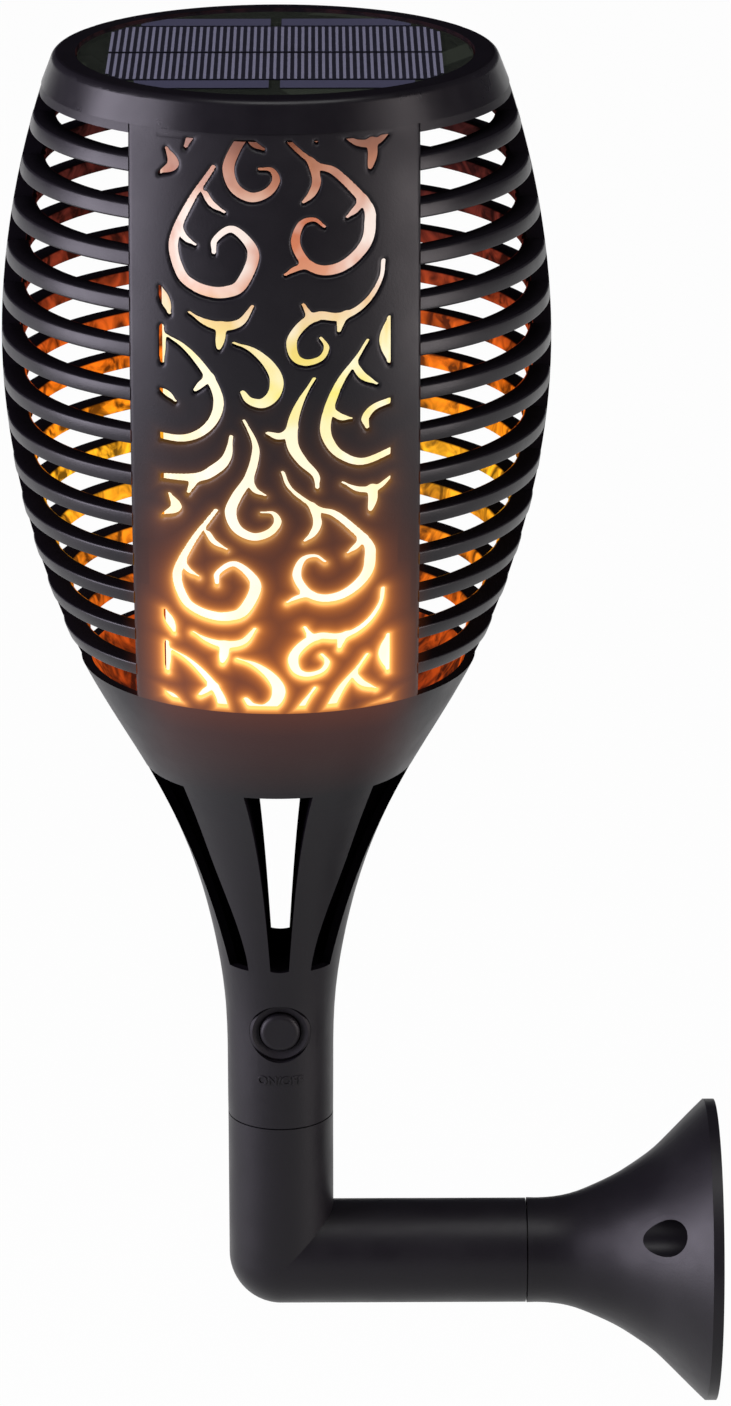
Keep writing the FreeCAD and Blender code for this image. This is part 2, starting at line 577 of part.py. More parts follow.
def battery_cell():
    can = upright(CELL_R, CELL_FOOT_Z, CELL_FOOT_Z + CELL_LENGTH - CELL_BUTTON_HEIGHT)
    button = upright(CELL_BUTTON_R, CELL_FOOT_Z, CELL_FOOT_Z + CELL_LENGTH)
    return can.fuse(button).removeSplitter()


def battery_holder():
    """Two end plates and three rails that hold the cell inside the core."""
    low = upright(CORE_BORE_R - 0.1, CELL_FOOT_Z - HOLDER_PLATE, CELL_FOOT_Z)
    top_z = CELL_FOOT_Z + CELL_LENGTH
    high = upright(CORE_BORE_R - 0.1, top_z, top_z + HOLDER_PLATE)
    rails = [turned(block(-1.5, 1.5, -CORE_BORE_R + 0.3, -CELL_R - 0.2, CELL_FOOT_Z - 1, top_z + 1), angle)
             for angle in (60, 180, 300)]
    holder = together([low, high] + rails)
    for x, y in LEAD_PATH_IN_CORE:
        holder = holder.cut(upright(CORE_LEAD_HOLE_R, CELL_FOOT_Z - FAR / 4, top_z + FAR / 4, x, y))
    return holder


def battery_leads():
    top_z = CELL_FOOT_Z + CELL_LENGTH + HOLDER_PLATE
    return Part.makeCompound([upright(LEAD_R, top_z, CONTROL_BOARD_Z, x, 0) for x in BATTERY_LEAD_X])


# ---------------------------------------------------------------- solar cap

def cap_outline():
    """Half section of the cap's outside."""
    foot = at(CAP_FOOT_R, 0, CAGE_TOP_Z)
    shoulder = at(CAP_TOP_R + 0.9, 0, CAP_SIDE_TOP_Z)
    bend = at(CAP_TOP_R + 0.2, 0, CAP_TOP_Z - 0.35)
    crown = at(CAP_TOP_R - 1.0, 0, CAP_TOP_Z)
    edges = lines([crown, at(0, 0, CAP_TOP_Z), at(0, 0, CAGE_TOP_Z), foot, shoulder])
    return edges + [Part.Arc(shoulder, bend, crown).toShape()]


def boss_places():
    return [(BOSS_CIRCLE_R * math.cos(math.radians(angle)), BOSS_CIRCLE_R * math.sin(math.radians(angle)))
            for angle in (90, 210, 330)]


def solar_cap():
    """Round cover with a recess for the solar laminate and a spigot that plugs into the cage."""
    body = solid_of_wire(cap_outline(), at(0, 0, 0), FreeCAD.Vector(0, 0, 1))
    body = body.cut(upright(CAP_SKIRT_BORE_R, CAGE_TOP_Z - 1.0, CAP_PLATE_Z))
    recess_floor = CAP_TOP_Z - RECESS_DEPTH
    body = body.cut(upright(RECESS_R, recess_floor, CAP_TOP_Z + 1.0))
    spigot = upright_pipe(CAP_SPIGOT_R, CAP_SPIGOT_R - CAP_SPIGOT_WALL, CAGE_TOP_Z - CAP_SPIGOT_DROP,
                          CAP_PLATE_Z + 0.2)
    bosses = [upright(BOSS_R, TRAY_FOOT_Z + TRAY_WALL, CAP_PLATE_Z + 0.2, x, y) for x, y in boss_places()]
    body = together([body, spigot] + bosses)
    for x, y in boss_places():
        body = body.cut(upright(CAP_SCREW_R, TRAY_FOOT_Z, CAP_PLATE_Z - CLEAR, x, y))
    for x in SOLAR_LEAD_X:
        body = body.cut(upright(SOLAR_LEAD_HOLE_R, CAP_PLATE_Z - CLEAR, recess_floor + CLEAR, x, SOLAR_LEAD_Y))
    return body.removeSplitter()


def cap_tray():
    """Dish under the cap that holds the control board."""
    wall_top = CAP_PLATE_Z - SEAL_HEIGHT
    tray = upright(TRAY_R, TRAY_FOOT_Z, wall_top)
    tray = tray.cut(upright(TRAY_R - TRAY_WALL, TRAY_FOOT_Z + TRAY_WALL, wall_top + 1.0))
    posts = [upright(2.4, TRAY_FOOT_Z + 0.5, CONTROL_BOARD_Z, x, 0) for x in BOARD_SCREW_X]
    tray = together([tray] + posts)
    for x, y in boss_places():
        tray = tray.cut(upright(CAP_SCREW_R + 2 * HAIR, TRAY_FOOT_Z - CLEAR,
                                TRAY_FOOT_Z + TRAY_WALL + CLEAR, x, y))
    for x in BOARD_SCREW_X:
        tray = tray.cut(upright(BOARD_SCREW_R, TRAY_FOOT_Z + CLEAR, CONTROL_BOARD_Z + CLEAR, x, 0))
    return tray.cut(upright(CABLE_EYE_R, TRAY_FOOT_Z - CLEAR, TRAY_FOOT_Z + TRAY_WALL + CLEAR))


def cap_seal():
    return upright_pipe(TRAY_R, TRAY_R - TRAY_WALL, CAP_PLATE_Z - SEAL_HEIGHT, CAP_PLATE_Z)


def cap_screws():
    """Pan-head screws that hold the tray up to the cap."""
    screws = []
    for x, y in boss_places():
        head = upright(2.4, TRAY_FOOT_Z - 1.4, TRAY_FOOT_Z, x, y)
        shank = upright(CAP_SCREW_R, TRAY_FOOT_Z - 0.5, TRAY_FOOT_Z + 6.0, x, y)
        slot = block(x - 1.5, x + 1.5, y - SCREW_SLOT_HALF, y + SCREW_SLOT_HALF,
                     TRAY_FOOT_Z - 2.0, TRAY_FOOT_Z - 0.6)
        cross_slot = block(x - SCREW_SLOT_HALF, x + SCREW_SLOT_HALF, y - 1.5, y + 1.5,
                           TRAY_FOOT_Z - 2.0, TRAY_FOOT_Z - 0.6)
        screws.append(head.fuse(shank).cut(slot).cut(cross_slot))
    return Part.makeCompound(screws)


def control_board():
    board = upright(CONTROL_BOARD_R, CONTROL_BOARD_Z, CONTROL_BOARD_Z + BOARD_THICKNESS)
    foot = CONTROL_BOARD_Z - CLEAR
    return board.cut([upright(BOARD_SCREW_R + HAIR, foot, foot + 4 * CLEAR, x, 0) for x in BOARD_SCREW_X])


def board_components():
    """Charge controller, capacitor, coil and small parts on the control board."""
    foot = CONTROL_BOARD_Z + BOARD_THICKNESS
    controller = block(-3.0, 3.0, -12.0, -8.0, foot, foot + 1.6)
    coil = upright(3.5, foot, foot + 2.2, -12.0, 6.0)
    capacitor = upright(2.5, foot, foot + 2.4, 12.0, -6.0)
    resistors = [block(x, x + 2.0, -2.0, -0.8, foot, foot + 0.6) for x in (-12.0, -8.0, 8.0, 12.0)]
    return Part.makeCompound([controller, coil, capacitor] + resistors)


def board_screws():
    screws = []
    foot = CONTROL_BOARD_Z + BOARD_THICKNESS
    for x in BOARD_SCREW_X:
        head = upright(1.9, foot, foot + 1.2, x, 0)
        screws.append(head.fuse(upright(BOARD_SCREW_R, TRAY_FOOT_Z + 1.2, foot + 0.5, x, 0)))
    return Part.makeCompound(screws)


def solar_leads():
    foot = CONTROL_BOARD_Z + BOARD_THICKNESS
    top = CAP_TOP_Z - RECESS_DEPTH
    return Part.makeCompound([upright(LEAD_R, foot, top, x, SOLAR_LEAD_Y) for x in SOLAR_LEAD_X])


def solar_board():
    foot = CAP_TOP_Z - RECESS_DEPTH
    return upright(SOLAR_BOARD_R, foot, foot + SOLAR_BOARD_THICKNESS)


def solar_cell_plates():
    """Two rows of cells between two split bus strips, all inside the round board."""
    foot = CAP_TOP_Z - RECESS_DEPTH + SOLAR_BOARD_THICKNESS
    top = foot + SOLAR_CELL_THICKNESS
    disc = upright(SOLAR_BOARD_R - 1.2, foot, top)
    plates = []
    for side in (-1, 1):
        row_low, row_high = sorted((side * SOLAR_ROW_GAP / 2, side * (SOLAR_ROW_GAP / 2 + SOLAR_ROW_DEPTH)))
        row = block(-SOLAR_HALF_WIDTH, SOLAR_HALF_WIDTH, row_low, row_high, foot, top)
        plates.append(row.common(disc).Solids[0])
        bus_start = SOLAR_ROW_GAP * 1.5 + SOLAR_ROW_DEPTH
        bus_low, bus_high = sorted((side * bus_start, side * (bus_start + SOLAR_BUS_DEPTH)))
        for half in (-1, 1):
            bus_left, bus_right = sorted((half * 1.2, half * (SOLAR_HALF_WIDTH - 6.0)))
            plates.append(block(bus_left, bus_right, bus_low, bus_high, foot, top).common(disc).Solids[0])
    return plates


def solar_cells():
    return Part.makeCompound(solar_cell_plates())


def solar_resin():
    """Clear layer poured over the cells."""
    foot = CAP_TOP_Z - RECESS_DEPTH + SOLAR_BOARD_THICKNESS
    return upright(SOLAR_BOARD_R, foot, foot + SOLAR_RESIN_THICKNESS).cut(solar_cell_plates())


# ---------------------------------------------------------------- switch

def button_bezel():
    """Rubber ring in the recess, sloped towards the button."""
    seat = at(0, BEZEL_SEAT_Y, BUTTON_Z)
    inner = BUTTON_R + BUTTON_GAP
    section = [seat + FreeCAD.Vector(inner, 0, 0), seat + FreeCAD.Vector(BEZEL_R, 0, 0),
               at(BEZEL_R, BEZEL_FRONT_Y + 0.5, BUTTON_Z), at(BEZEL_R - 0.6, BEZEL_FRONT_Y, BUTTON_Z),
               at(inner, BEZEL_FRONT_Y + 0.7, BUTTON_Z), seat + FreeCAD.Vector(inner, 0, 0)]
    return solid_of_wire(lines(section), seat, FreeCAD.Vector(0, 1, 0))


def button_cap():
    """Round push button with a soft front edge and a flange that keeps it in the tube."""
    back = PAD_BACK_Y + 0.2 + BUTTON_FLANGE
    rim = BUTTON_FRONT_Y + 0.9
    section = [at(BUTTON_R, rim, BUTTON_Z), at(BUTTON_R, PAD_BACK_Y + 0.2, BUTTON_Z),
               at(BUTTON_FLANGE_R, PAD_BACK_Y + 0.2, BUTTON_Z), at(BUTTON_FLANGE_R, back, BUTTON_Z),
               at(0, back, BUTTON_Z), at(0, BUTTON_FRONT_Y, BUTTON_Z),
               at(BUTTON_R - 1.4, BUTTON_FRONT_Y, BUTTON_Z)]
    shoulder = at(BUTTON_R - 0.42, BUTTON_FRONT_Y + 0.26, BUTTON_Z)
    edges = lines(section) + [Part.Arc(section[-1], shoulder, section[0]).toShape()]
    return solid_of_wire(edges, at(0, 0, BUTTON_Z), FreeCAD.Vector(0, 1, 0))


def switch_body():
    body = block(-SWITCH_HALF, SWITCH_HALF, SWITCH_FRONT_Y, SWITCH_BACK_Y,
                 BUTTON_Z - SWITCH_HALF, BUTTON_Z + SWITCH_HALF)
    front = at(0, SWITCH_FRONT_Y - CLEAR, BUTTON_Z)
    return body.cut(rod(PLUNGER_BORE_R, front, at(0, SWITCH_BACK_Y - CLEAR / 2, BUTTON_Z)))


def switch_plunger():
    """Small stem of the switch, just behind the button."""
    front = PAD_BACK_Y + 0.2 + BUTTON_FLANGE + 0.1
    back = SWITCH_BACK_Y - 0.5 - BUTTON_TRAVEL - 0.2
    return rod(PLUNGER_R, at(0, front, BUTTON_Z), at(0, back, BUTTON_Z))


def switch_board():
    board = block(-SWITCH_BOARD_HALF_WIDTH, SWITCH_BOARD_HALF_WIDTH, SWITCH_BACK_Y,
                  SWITCH_BACK_Y + BOARD_THICKNESS, BUTTON_Z - SWITCH_BOARD_HALF_HEIGHT,
                  BUTTON_Z + SWITCH_BOARD_HALF_HEIGHT)
    for z in switch_post_heights():
        board = board.cut(rod(SWITCH_SCREW_R + HAIR, at(0, SWITCH_FRONT_Y, z), at(0, SWITCH_SCREW_END_Y, z)))
    return board


def switch_screws():
    screws = []
    for z in switch_post_heights():
        head = rod(1.9, at(0, SWITCH_BACK_Y - 1.2, z), at(0, SWITCH_BACK_Y, z))
        shank = rod(SWITCH_SCREW_R, at(0, SWITCH_BACK_Y - 0.5, z), at(0, SWITCH_SCREW_END_Y, z))
        screws.append(head.fuse(shank))
    return Part.makeCompound(screws)


def switch_leads():
    """Two wires from the switch board up beside the tunnel and the cell to the control board."""
    leads = []
    for side, in_floor, in_core in zip((1, -1), LEAD_HOLES, LEAD_PATH_IN_CORE):
        route = [at(3.6, side * 3.2 + 0.9, BUTTON_Z + SWITCH_BOARD_HALF_HEIGHT + 1.0),
                 at(6.0, in_floor[1], SLOT_SIDE[0][1] + CLEAR), at(*in_floor, BOWL_FLOOR_Z - 4.0),
                 at(*in_floor, CORE_FOOT_Z + 3.0), at(*in_core, CORE_FOOT_Z + LEAD_NOTCH_HEIGHT - CLEAR),
                 at(*in_core, CORE_TOP_Z - 8.0), at(LEAD_EYE_X, in_core[1], CORE_TOP_Z - 2.0),
                 at(LEAD_EYE_X, in_core[1], CONTROL_BOARD_Z)]
        runs = [rod(LEAD_R, a, b) for a, b in zip(route, route[1:])]
        bends = [Part.makeSphere(LEAD_R, corner) for corner in route[1:-1]]
        leads.append(together(runs + bends))
    return Part.makeCompound(leads)


def build():
    panel = pierced_panel()
    rings = slat_rings()
    return {
        "wall_flange": wall_flange(),
        "arm_elbow": arm_elbow(),
        "torch_neck": torch_neck(),
        "swivel_o_ring": swivel_o_ring(),
        "front_panel": panel,
        "back_panel": turned(panel, 180.0),
        "slats_front_left": slat_quarter(rings, -1, -1),
        "slats_front_right": slat_quarter(rings, 1, -1),
        "slats_back_left": slat_quarter(rings, -1, 1),
        "slats_back_right": slat_quarter(rings, 1, 1),
        "side_rib_left": side_rib(-1),
        "side_rib_right": side_rib(1),
        "cage_top_ring": cage_top_ring(),
        "diffuser_base": diffuser_base(),
        "diffuser_tube": diffuser_tube(),
        "diffuser_top": diffuser_top(),
        "led_core": led_core(),
        "led_flex_board": led_flex_board(),
        "led_chips": led_chips(),
        "battery_cell": battery_cell(),
        "battery_holder": battery_holder(),
        "battery_leads": battery_leads(),
        "solar_cap": solar_cap(),
        "cap_tray": cap_tray(),
        "cap_seal": cap_seal(),
        "cap_screws": cap_screws(),
        "control_board": control_board(),
        "board_components": board_components(),
        "board_screws": board_screws(),
        "solar_leads": solar_leads(),
        "solar_board": solar_board(),
        "solar_cells": solar_cells(),
        "solar_resin": solar_resin(),
        "button_bezel": button_bezel(),
        "button_cap": button_cap(),
        "switch_body": switch_body(),
        "switch_plunger": switch_plunger(),
        "switch_board": switch_board(),
        "switch_screws": switch_screws(),
        "switch_leads": switch_leads(),
    }


os.makedirs("parts", exist_ok=True)
for name, shape in build().items():
    shape.exportStep("parts/" + name + ".step")
    print(name, "valid", shape.isValid(), "solids", len(shape.Solids), "volume", round(shape.Volume))
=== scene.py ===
import math

import bpy
import numpy as np
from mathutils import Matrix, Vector


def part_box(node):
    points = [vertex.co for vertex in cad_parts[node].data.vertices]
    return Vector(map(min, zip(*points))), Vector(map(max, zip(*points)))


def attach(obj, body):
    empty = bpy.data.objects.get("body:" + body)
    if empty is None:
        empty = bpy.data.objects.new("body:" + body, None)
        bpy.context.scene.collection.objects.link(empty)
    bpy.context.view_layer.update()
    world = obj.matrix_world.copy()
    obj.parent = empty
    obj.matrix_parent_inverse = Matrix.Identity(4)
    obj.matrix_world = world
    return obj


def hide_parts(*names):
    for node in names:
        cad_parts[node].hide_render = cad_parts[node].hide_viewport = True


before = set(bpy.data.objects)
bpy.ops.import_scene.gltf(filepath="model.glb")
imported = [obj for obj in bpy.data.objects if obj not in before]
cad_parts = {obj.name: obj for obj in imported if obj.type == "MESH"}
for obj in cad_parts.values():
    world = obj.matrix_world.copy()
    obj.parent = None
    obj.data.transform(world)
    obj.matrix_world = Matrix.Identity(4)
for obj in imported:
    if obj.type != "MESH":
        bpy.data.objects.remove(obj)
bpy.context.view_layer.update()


# ------------------------------------------------------------------ camera
# The camera stands in front of the torch and a little above it, far off with a long lens, as in
# a catalogue picture. Its place was worked out from the curves of the rings and seams.

MM = 0.001
HEAD = Vector((-100.0, 0.0, 0.0)) * MM          # the torch's upright axis, from the wall
CAMERA_AIM = Vector((-80.6, 0.0, 133.75)) * MM
CAMERA_DISTANCE = 1.2739
CAMERA_AZIMUTH = math.radians(-0.5)
CAMERA_ELEVATION = math.radians(19.0)
FOCAL_PIXELS = 5700
FRAME_HEIGHT_PIXELS = 1406
SENSOR_MM = 36.0

camera_data = bpy.data.cameras.new("camera")
camera_data.sensor_width = SENSOR_MM
camera_data.lens = FOCAL_PIXELS / FRAME_HEIGHT_PIXELS * SENSOR_MM
camera_data.clip_start = 0.01
camera_data.clip_end = 50
camera = bpy.data.objects.new("camera", camera_data)
bpy.context.scene.collection.objects.link(camera)
away = Vector((math.sin(CAMERA_AZIMUTH) * math.cos(CAMERA_ELEVATION),
               -math.cos(CAMERA_AZIMUTH) * math.cos(CAMERA_ELEVATION),
               math.sin(CAMERA_ELEVATION)))
camera.location = CAMERA_AIM + away * CAMERA_DISTANCE
camera.rotation_euler = (-away).to_track_quat("-Z", "Y").to_euler()
bpy.context.scene.camera = camera
bpy.context.scene.view_settings.view_transform = "Standard"


# ------------------------------------------------------------------ studio
# A white seamless floor far below, a dim surround, and three soft boxes: a wide one level on the
# left that draws the lilac sheen, a narrower one on the right, and one high in front.

FLOOR_Z = -0.9
FLOOR_REACH = 30.0
FLOOR_HEX = "#f6f6f6"
FLOOR_SHADOW_SHARE = 0.02
SURROUND_HEX = "#eceaff"
SURROUND_STRENGTH = 0.06
LAMP_AIM = HEAD + Vector((0, 0, 0.15))
# name: (place from the point it faces, width and height in metres, watts, colour)
SOFT_BOXES = {"left_box": ((-1.37, -0.3, 0.2), 1.2, 1.1, 48, "#f4ecff"),
              "right_box": ((1.28, -0.6, 0.15), 0.6, 1.0, 17, "#fff4f6"),
              "high_box": ((0.1, -0.5, 1.65), 1.2, 0.9, 16, "#ffffff")}


def linear(hex_colour):
    """An sRGB hex colour as linear red, green and blue, with alpha 1."""
    parts = [int(hex_colour[i:i + 2], 16) / 255 for i in (1, 3, 5)]
    return tuple(p / 12.92 if p <= 0.04045 else ((p + 0.055) / 1.055) ** 2.4 for p in parts) + (1.0,)


def add_node(tree, kind, sockets=None, out=0, **settings):
    """Adds a shader node with its settings, and gives its output. A socket takes a value or a link."""
    node = tree.nodes.new("ShaderNode" + kind)
    for name, value in settings.items():
        setattr(node, name, value)
    for socket, value in (sockets or {}).items():
        if isinstance(value, bpy.types.NodeSocket):
            tree.links.new(value, node.inputs[socket])
        else:
            node.inputs[socket].default_value = value
    return node.outputs[out] if node.outputs else node


def new_material(name):
    """A node material with nothing in its tree, and the tree."""
    material = bpy.data.materials.new(name)
    material.use_nodes = True
    material.node_tree.nodes.clear()
    return material, material.node_tree


def new_piece(name, vertices, faces, material, smooth_angle=35.0):
    """A mesh object from points in metres, shaded smooth except across sharp edges."""
    mesh = bpy.data.meshes.new(name)
    mesh.from_pydata([tuple(v) for v in vertices], [], [tuple(f) for f in faces])
    mesh.polygons.foreach_set("use_smooth", [True] * len(mesh.polygons))
    mesh.set_sharp_from_angle(angle=math.radians(smooth_angle))
    mesh.materials.append(material)
    piece = bpy.data.objects.new(name, mesh)
    bpy.context.scene.collection.objects.link(piece)
    return piece


# Matt white paper, which looks evenly lit to the camera and keeps a trace of the torch's shadow
paper, tree = new_material("seamless_paper")
ray = add_node(tree, "LightPath").node.outputs
seen = add_node(tree, "Math", {0: ray["Is Camera Ray"], 1: ray["Is Glossy Ray"]}, operation="MAXIMUM")
seen = add_node(tree, "Math", {0: seen, 1: ray["Is Transmission Ray"]}, operation="MAXIMUM")
share = add_node(tree, "Math", {0: seen, 1: 1 - FLOOR_SHADOW_SHARE}, operation="MULTIPLY")
matt = add_node(tree, "BsdfDiffuse", {"Color": linear(FLOOR_HEX)})
lit = add_node(tree, "Emission", {"Color": linear("#ffffff"), "Strength": 1.0})
add_node(tree, "OutputMaterial", {"Surface": add_node(tree, "MixShader", {0: share, 1: matt, 2: lit})})
corners = [(x * FLOOR_REACH, y * FLOOR_REACH, FLOOR_Z) for x, y in ((-1, -1), (1, -1), (1, 1), (-1, 1))]
floor = new_piece("floor", corners, [(0, 1, 2, 3)], paper)

world = bpy.data.worlds.new("surround")
world.use_nodes = True
bpy.context.scene.world = world
tree = world.node_tree
tree.nodes.clear()
sky = add_node(tree, "Background", {"Color": linear(SURROUND_HEX), "Strength": SURROUND_STRENGTH})
add_node(tree, "OutputWorld", {"Surface": sky})

for name, (offset, width, height, watts, colour) in SOFT_BOXES.items():
    box = bpy.data.lights.new(name, "AREA")
    box.shape = "RECTANGLE"
    box.size = width
    box.size_y = height
    box.energy = watts
    box.color = linear(colour)[:3]
    lamp = bpy.data.objects.new(name, box)
    lamp.location = LAMP_AIM + Vector(offset)
    lamp.rotation_euler = (-Vector(offset)).to_track_quat("-Z", "Y").to_euler()
    lamp.visible_camera = False
    bpy.context.scene.collection.objects.link(lamp)


# ------------------------------------------------------------------ wall flange
# The trumpet foot, injection moulded in black ABS. Three screws in its wells hold its flat rim to
# the wall. The mould was spark eroded, which leaves a fine satin grain on all that shows.

ABS_HEX = "#100e12"
ABS_PALE_HEX = "#161418"
ABS_IOR = 1.53
ABS_SPECULAR = 0.2             # the satin grain scatters most of the mirror reflection away
SPARK_GRAIN_MM = 0.55          # the real grain is near 0.05 mm; drawn coarse enough to show
SPARK_GRAIN_HEIGHT_MM = 0.2
FLOW_MARK_MM = 14.0            # cloudy change of gloss as the melt filled the mould

# Settings of a Mix node for colours, whose factor is socket 0 and whose colours are 6 and 7
COLOUR_MIX = {"out": 2, "data_type": "RGBA"}


def moulded_abs(name, roughness=0.42, grain_strength=0.12, lamp_effect=None):
    """Satin black ABS. lamp_effect gives the shader sockets for the flame's painted light and for the cuts.
    """
    material, tree = new_material(name)
    place = add_node(tree, "TexCoord", out="Object")
    clouds = add_node(tree, "TexNoise", {"Vector": place, "Scale": 1 / (FLOW_MARK_MM * MM),
                                         "Detail": 4.0, "Roughness": 0.6})
    grain = add_node(tree, "TexNoise", {"Vector": place, "Scale": 1 / (SPARK_GRAIN_MM * MM),
                                        "Detail": 2.0, "Roughness": 0.7})
    colour = add_node(tree, "Mix", {0: clouds, 6: linear(ABS_HEX), 7: linear(ABS_PALE_HEX)}, **COLOUR_MIX)
    gloss = add_node(tree, "MapRange", {"Value": clouds, "From Min": 0.3, "From Max": 0.7,
                                        "To Min": roughness - 0.05, "To Max": roughness + 0.07})
    bump = add_node(tree, "Bump", {"Height": grain, "Strength": grain_strength,
                                   "Distance": SPARK_GRAIN_HEIGHT_MM * MM})
    sockets = {"Base Color": colour, "Roughness": gloss, "Normal": bump, "IOR": ABS_IOR,
               "Specular IOR Level": ABS_SPECULAR}
    if lamp_effect:
        sockets.update(lamp_effect(tree, place))
    add_node(tree, "OutputMaterial", {"Surface": add_node(tree, "BsdfPrincipled", sockets)})
    return material


def finish(node, material):
    """A CAD piece keeps its shape and takes a material."""
    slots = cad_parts[node].data.materials
    slots.clear()
    slots.append(material)


# Near black with a soft grey sheen on the side of the light, a little cloudy
black_abs = moulded_abs("satin_black_abs")
finish("wall_flange", black_abs)


# ------------------------------------------------------------------ arm
# The bent tube between flange and torch, moulded in the same black ABS. One end plugs into the
# flange. The torch plugs into the other and turns there, held by the friction of a rubber ring.

finish("arm_elbow", black_abs)


def mottled(name, colour, other, patch_mm, roughness, metallic=0.0, relief=0.05, specular=0.5):
    """A plain finish whose colour and gloss vary softly in patches, with a fine relief."""
    material, tree = new_material(name)
    place = add_node(tree, "TexCoord", out="Object")
    patches = add_node(tree, "TexNoise", {"Vector": place, "Scale": 1 / (patch_mm * MM), "Detail": 3.0})
    blend = add_node(tree, "Mix", {0: patches, 6: linear(colour), 7: linear(other)}, **COLOUR_MIX)
    gloss = add_node(tree, "MapRange", {"Value": patches, "To Min": roughness - 0.06,
                                        "To Max": roughness + 0.06})
    bump = add_node(tree, "Bump", {"Height": patches, "Strength": relief, "Distance": 0.1 * MM})
    surface = add_node(tree, "BsdfPrincipled", {"Base Color": blend, "Roughness": gloss, "Normal": bump,
                                                "Specular IOR Level": specular, "Metallic": metallic})
    add_node(tree, "OutputMaterial", {"Surface": surface})
    return material


# Dull black with hardly a highlight, as moulded rubber has
rubber = mottled("black_rubber", "#121212", "#1a1a1a", 1.2, 0.7)
finish("swivel_o_ring", rubber)


# ------------------------------------------------------------------ torch neck, ribs and top ring
# The torch's tube, slotted cone and bowl are one moulding in black ABS. The side ribs tie the
# slats together, and the top ring closes the cage and carries the lid. The lamp's light on their
# inner faces and through the bowl is painted on as an orange and brown glow.

FIRST_CUT_MM = 72.0            # foot of the slots in the torch's neck
CUT_FACE_SPECULAR = 0.0        # cut and inner faces come rough from the mould
CUT_FACE_LOOK = 0.35           # up to this outward look a face has that specular level,
OUTER_FACE_LOOK = 0.75         # and from here it has the ABS's own
LIT_FACE_LOOK = (-0.2, -0.8)   # the flame's light starts and is full at these outward looks
FLICKER_MM = 7.0

# Painted light of the flame on the faces that look at the lamp, as (height in mm, colour)
INSIDE_GLOW = [(124.0, "#000000"), (128.0, "#6a1c06"), (150.0, "#b4460a"), (160.0, "#d86c0e"),
               (168.0, "#ec8818"), (180.0, "#f2ac20"), (192.0, "#ea8412"), (204.0, "#d8600e"),
               (213.0, "#a84212"), (223.0, "#742814"), (240.0, "#4a1a14"), (256.0, "#301210"),
               (276.0, "#180a0a")]
# Painted warm glow of the lamp's light on the plastic round the pierced panels
PAINTED_SHINE_THROUGH = [(122.0, "#000000"), (140.0, "#34130a"), (152.0, "#5e280c"), (166.0, "#6a320e"),
                 (182.0, "#50240c"), (198.0, "#2a140c"), (215.0, "#000000")]
SHINE_CORE_MM = 22.0
SHINE_END_MM = 34.0


def height_ramp(tree, height, stops):
    """A colour or grey level that changes with height; stops are (mm, hex colour or number)."""
    low, high = stops[0][0], stops[-1][0]
    share = add_node(tree, "MapRange", {"Value": height, "From Min": low * MM, "From Max": high * MM})
    colour = add_node(tree, "ValToRGB", {0: share})
    elements = colour.node.color_ramp.elements
    while len(elements) < len(stops):
        elements.new(0.5)
    for element, (z, value) in zip(elements, stops):
        element.position = (z - low) / (high - low)
        element.color = linear(value) if isinstance(value, str) else (value, value, value, 1.0)
    return colour


def outward_look(tree, place):
    """1 on faces that look away from the torch's axis, -1 on those that look at it, 0 across."""
    outward = add_node(tree, "VectorMath", {0: place, 1: HEAD}, operation="SUBTRACT")
    level = add_node(tree, "VectorMath", {0: outward, 1: (1.0, 1.0, 0.0)}, operation="MULTIPLY")
    radial = add_node(tree, "VectorMath", {0: level}, operation="NORMALIZE")
    normal = add_node(tree, "TexCoord", out="Normal")
    return add_node(tree, "VectorMath", {0: radial, 1: normal}, out="Value", operation="DOT_PRODUCT")


def cut_face_gloss(tree, place, height):
    """Specular level of the torch, less on its cut and inner faces. Its uncut tube is left alone."""
    torch_gloss = add_node(tree, "MapRange", {
        "Value": outward_look(tree, place), "From Min": CUT_FACE_LOOK, "From Max": OUTER_FACE_LOOK,
        "To Min": CUT_FACE_SPECULAR, "To Max": ABS_SPECULAR})
    above = add_node(tree, "Math", {0: height, 1: FIRST_CUT_MM * MM}, operation="GREATER_THAN")
    return add_node(tree, "Mix", {0: above, 2: ABS_SPECULAR, 3: torch_gloss})


def flame_on_inside(tree, place, height):
    """Painted orange light on the faces that look at the torch's axis, uneven as a flame is."""
    inward = add_node(tree, "MapRange", {"Value": outward_look(tree, place),
                                         "From Min": LIT_FACE_LOOK[0], "From Max": LIT_FACE_LOOK[1]})
    flicker = add_node(tree, "TexNoise", {"Vector": place, "Scale": 1 / (FLICKER_MM * MM),
                                          "Detail": 3.0, "Distortion": 1.5})
    uneven = add_node(tree, "MapRange", {"Value": flicker, "From Min": 0.38, "From Max": 0.64,
                                         "To Min": 0.2, "To Max": 1.75})
    share = add_node(tree, "Math", {0: inward, 1: uneven}, operation="MULTIPLY")
    return add_node(tree, "Mix", {0: 1.0, 6: height_ramp(tree, height, INSIDE_GLOW), 7: share},
                    **COLOUR_MIX, blend_type="MULTIPLY")


def painted_shine_through(tree, place, height):
    """Painted warm brown glow of the lamp's light on the panels and the bowl under them, strongest on the
    centre line.
    """
    across = add_node(tree, "SeparateXYZ", {0: place}, out="X")
    from_middle = add_node(tree, "Math", {0: across, 1: HEAD.x}, operation="SUBTRACT")
    aside = add_node(tree, "Math", {0: from_middle}, operation="ABSOLUTE")
    near = add_node(tree, "MapRange", {"Value": aside, "From Min": SHINE_END_MM * MM,
                                       "From Max": SHINE_CORE_MM * MM}, interpolation_type="SMOOTHSTEP")
    return add_node(tree, "Mix", {0: 1.0, 6: height_ramp(tree, height, PAINTED_SHINE_THROUGH), 7: near},
                    **COLOUR_MIX, blend_type="MULTIPLY")


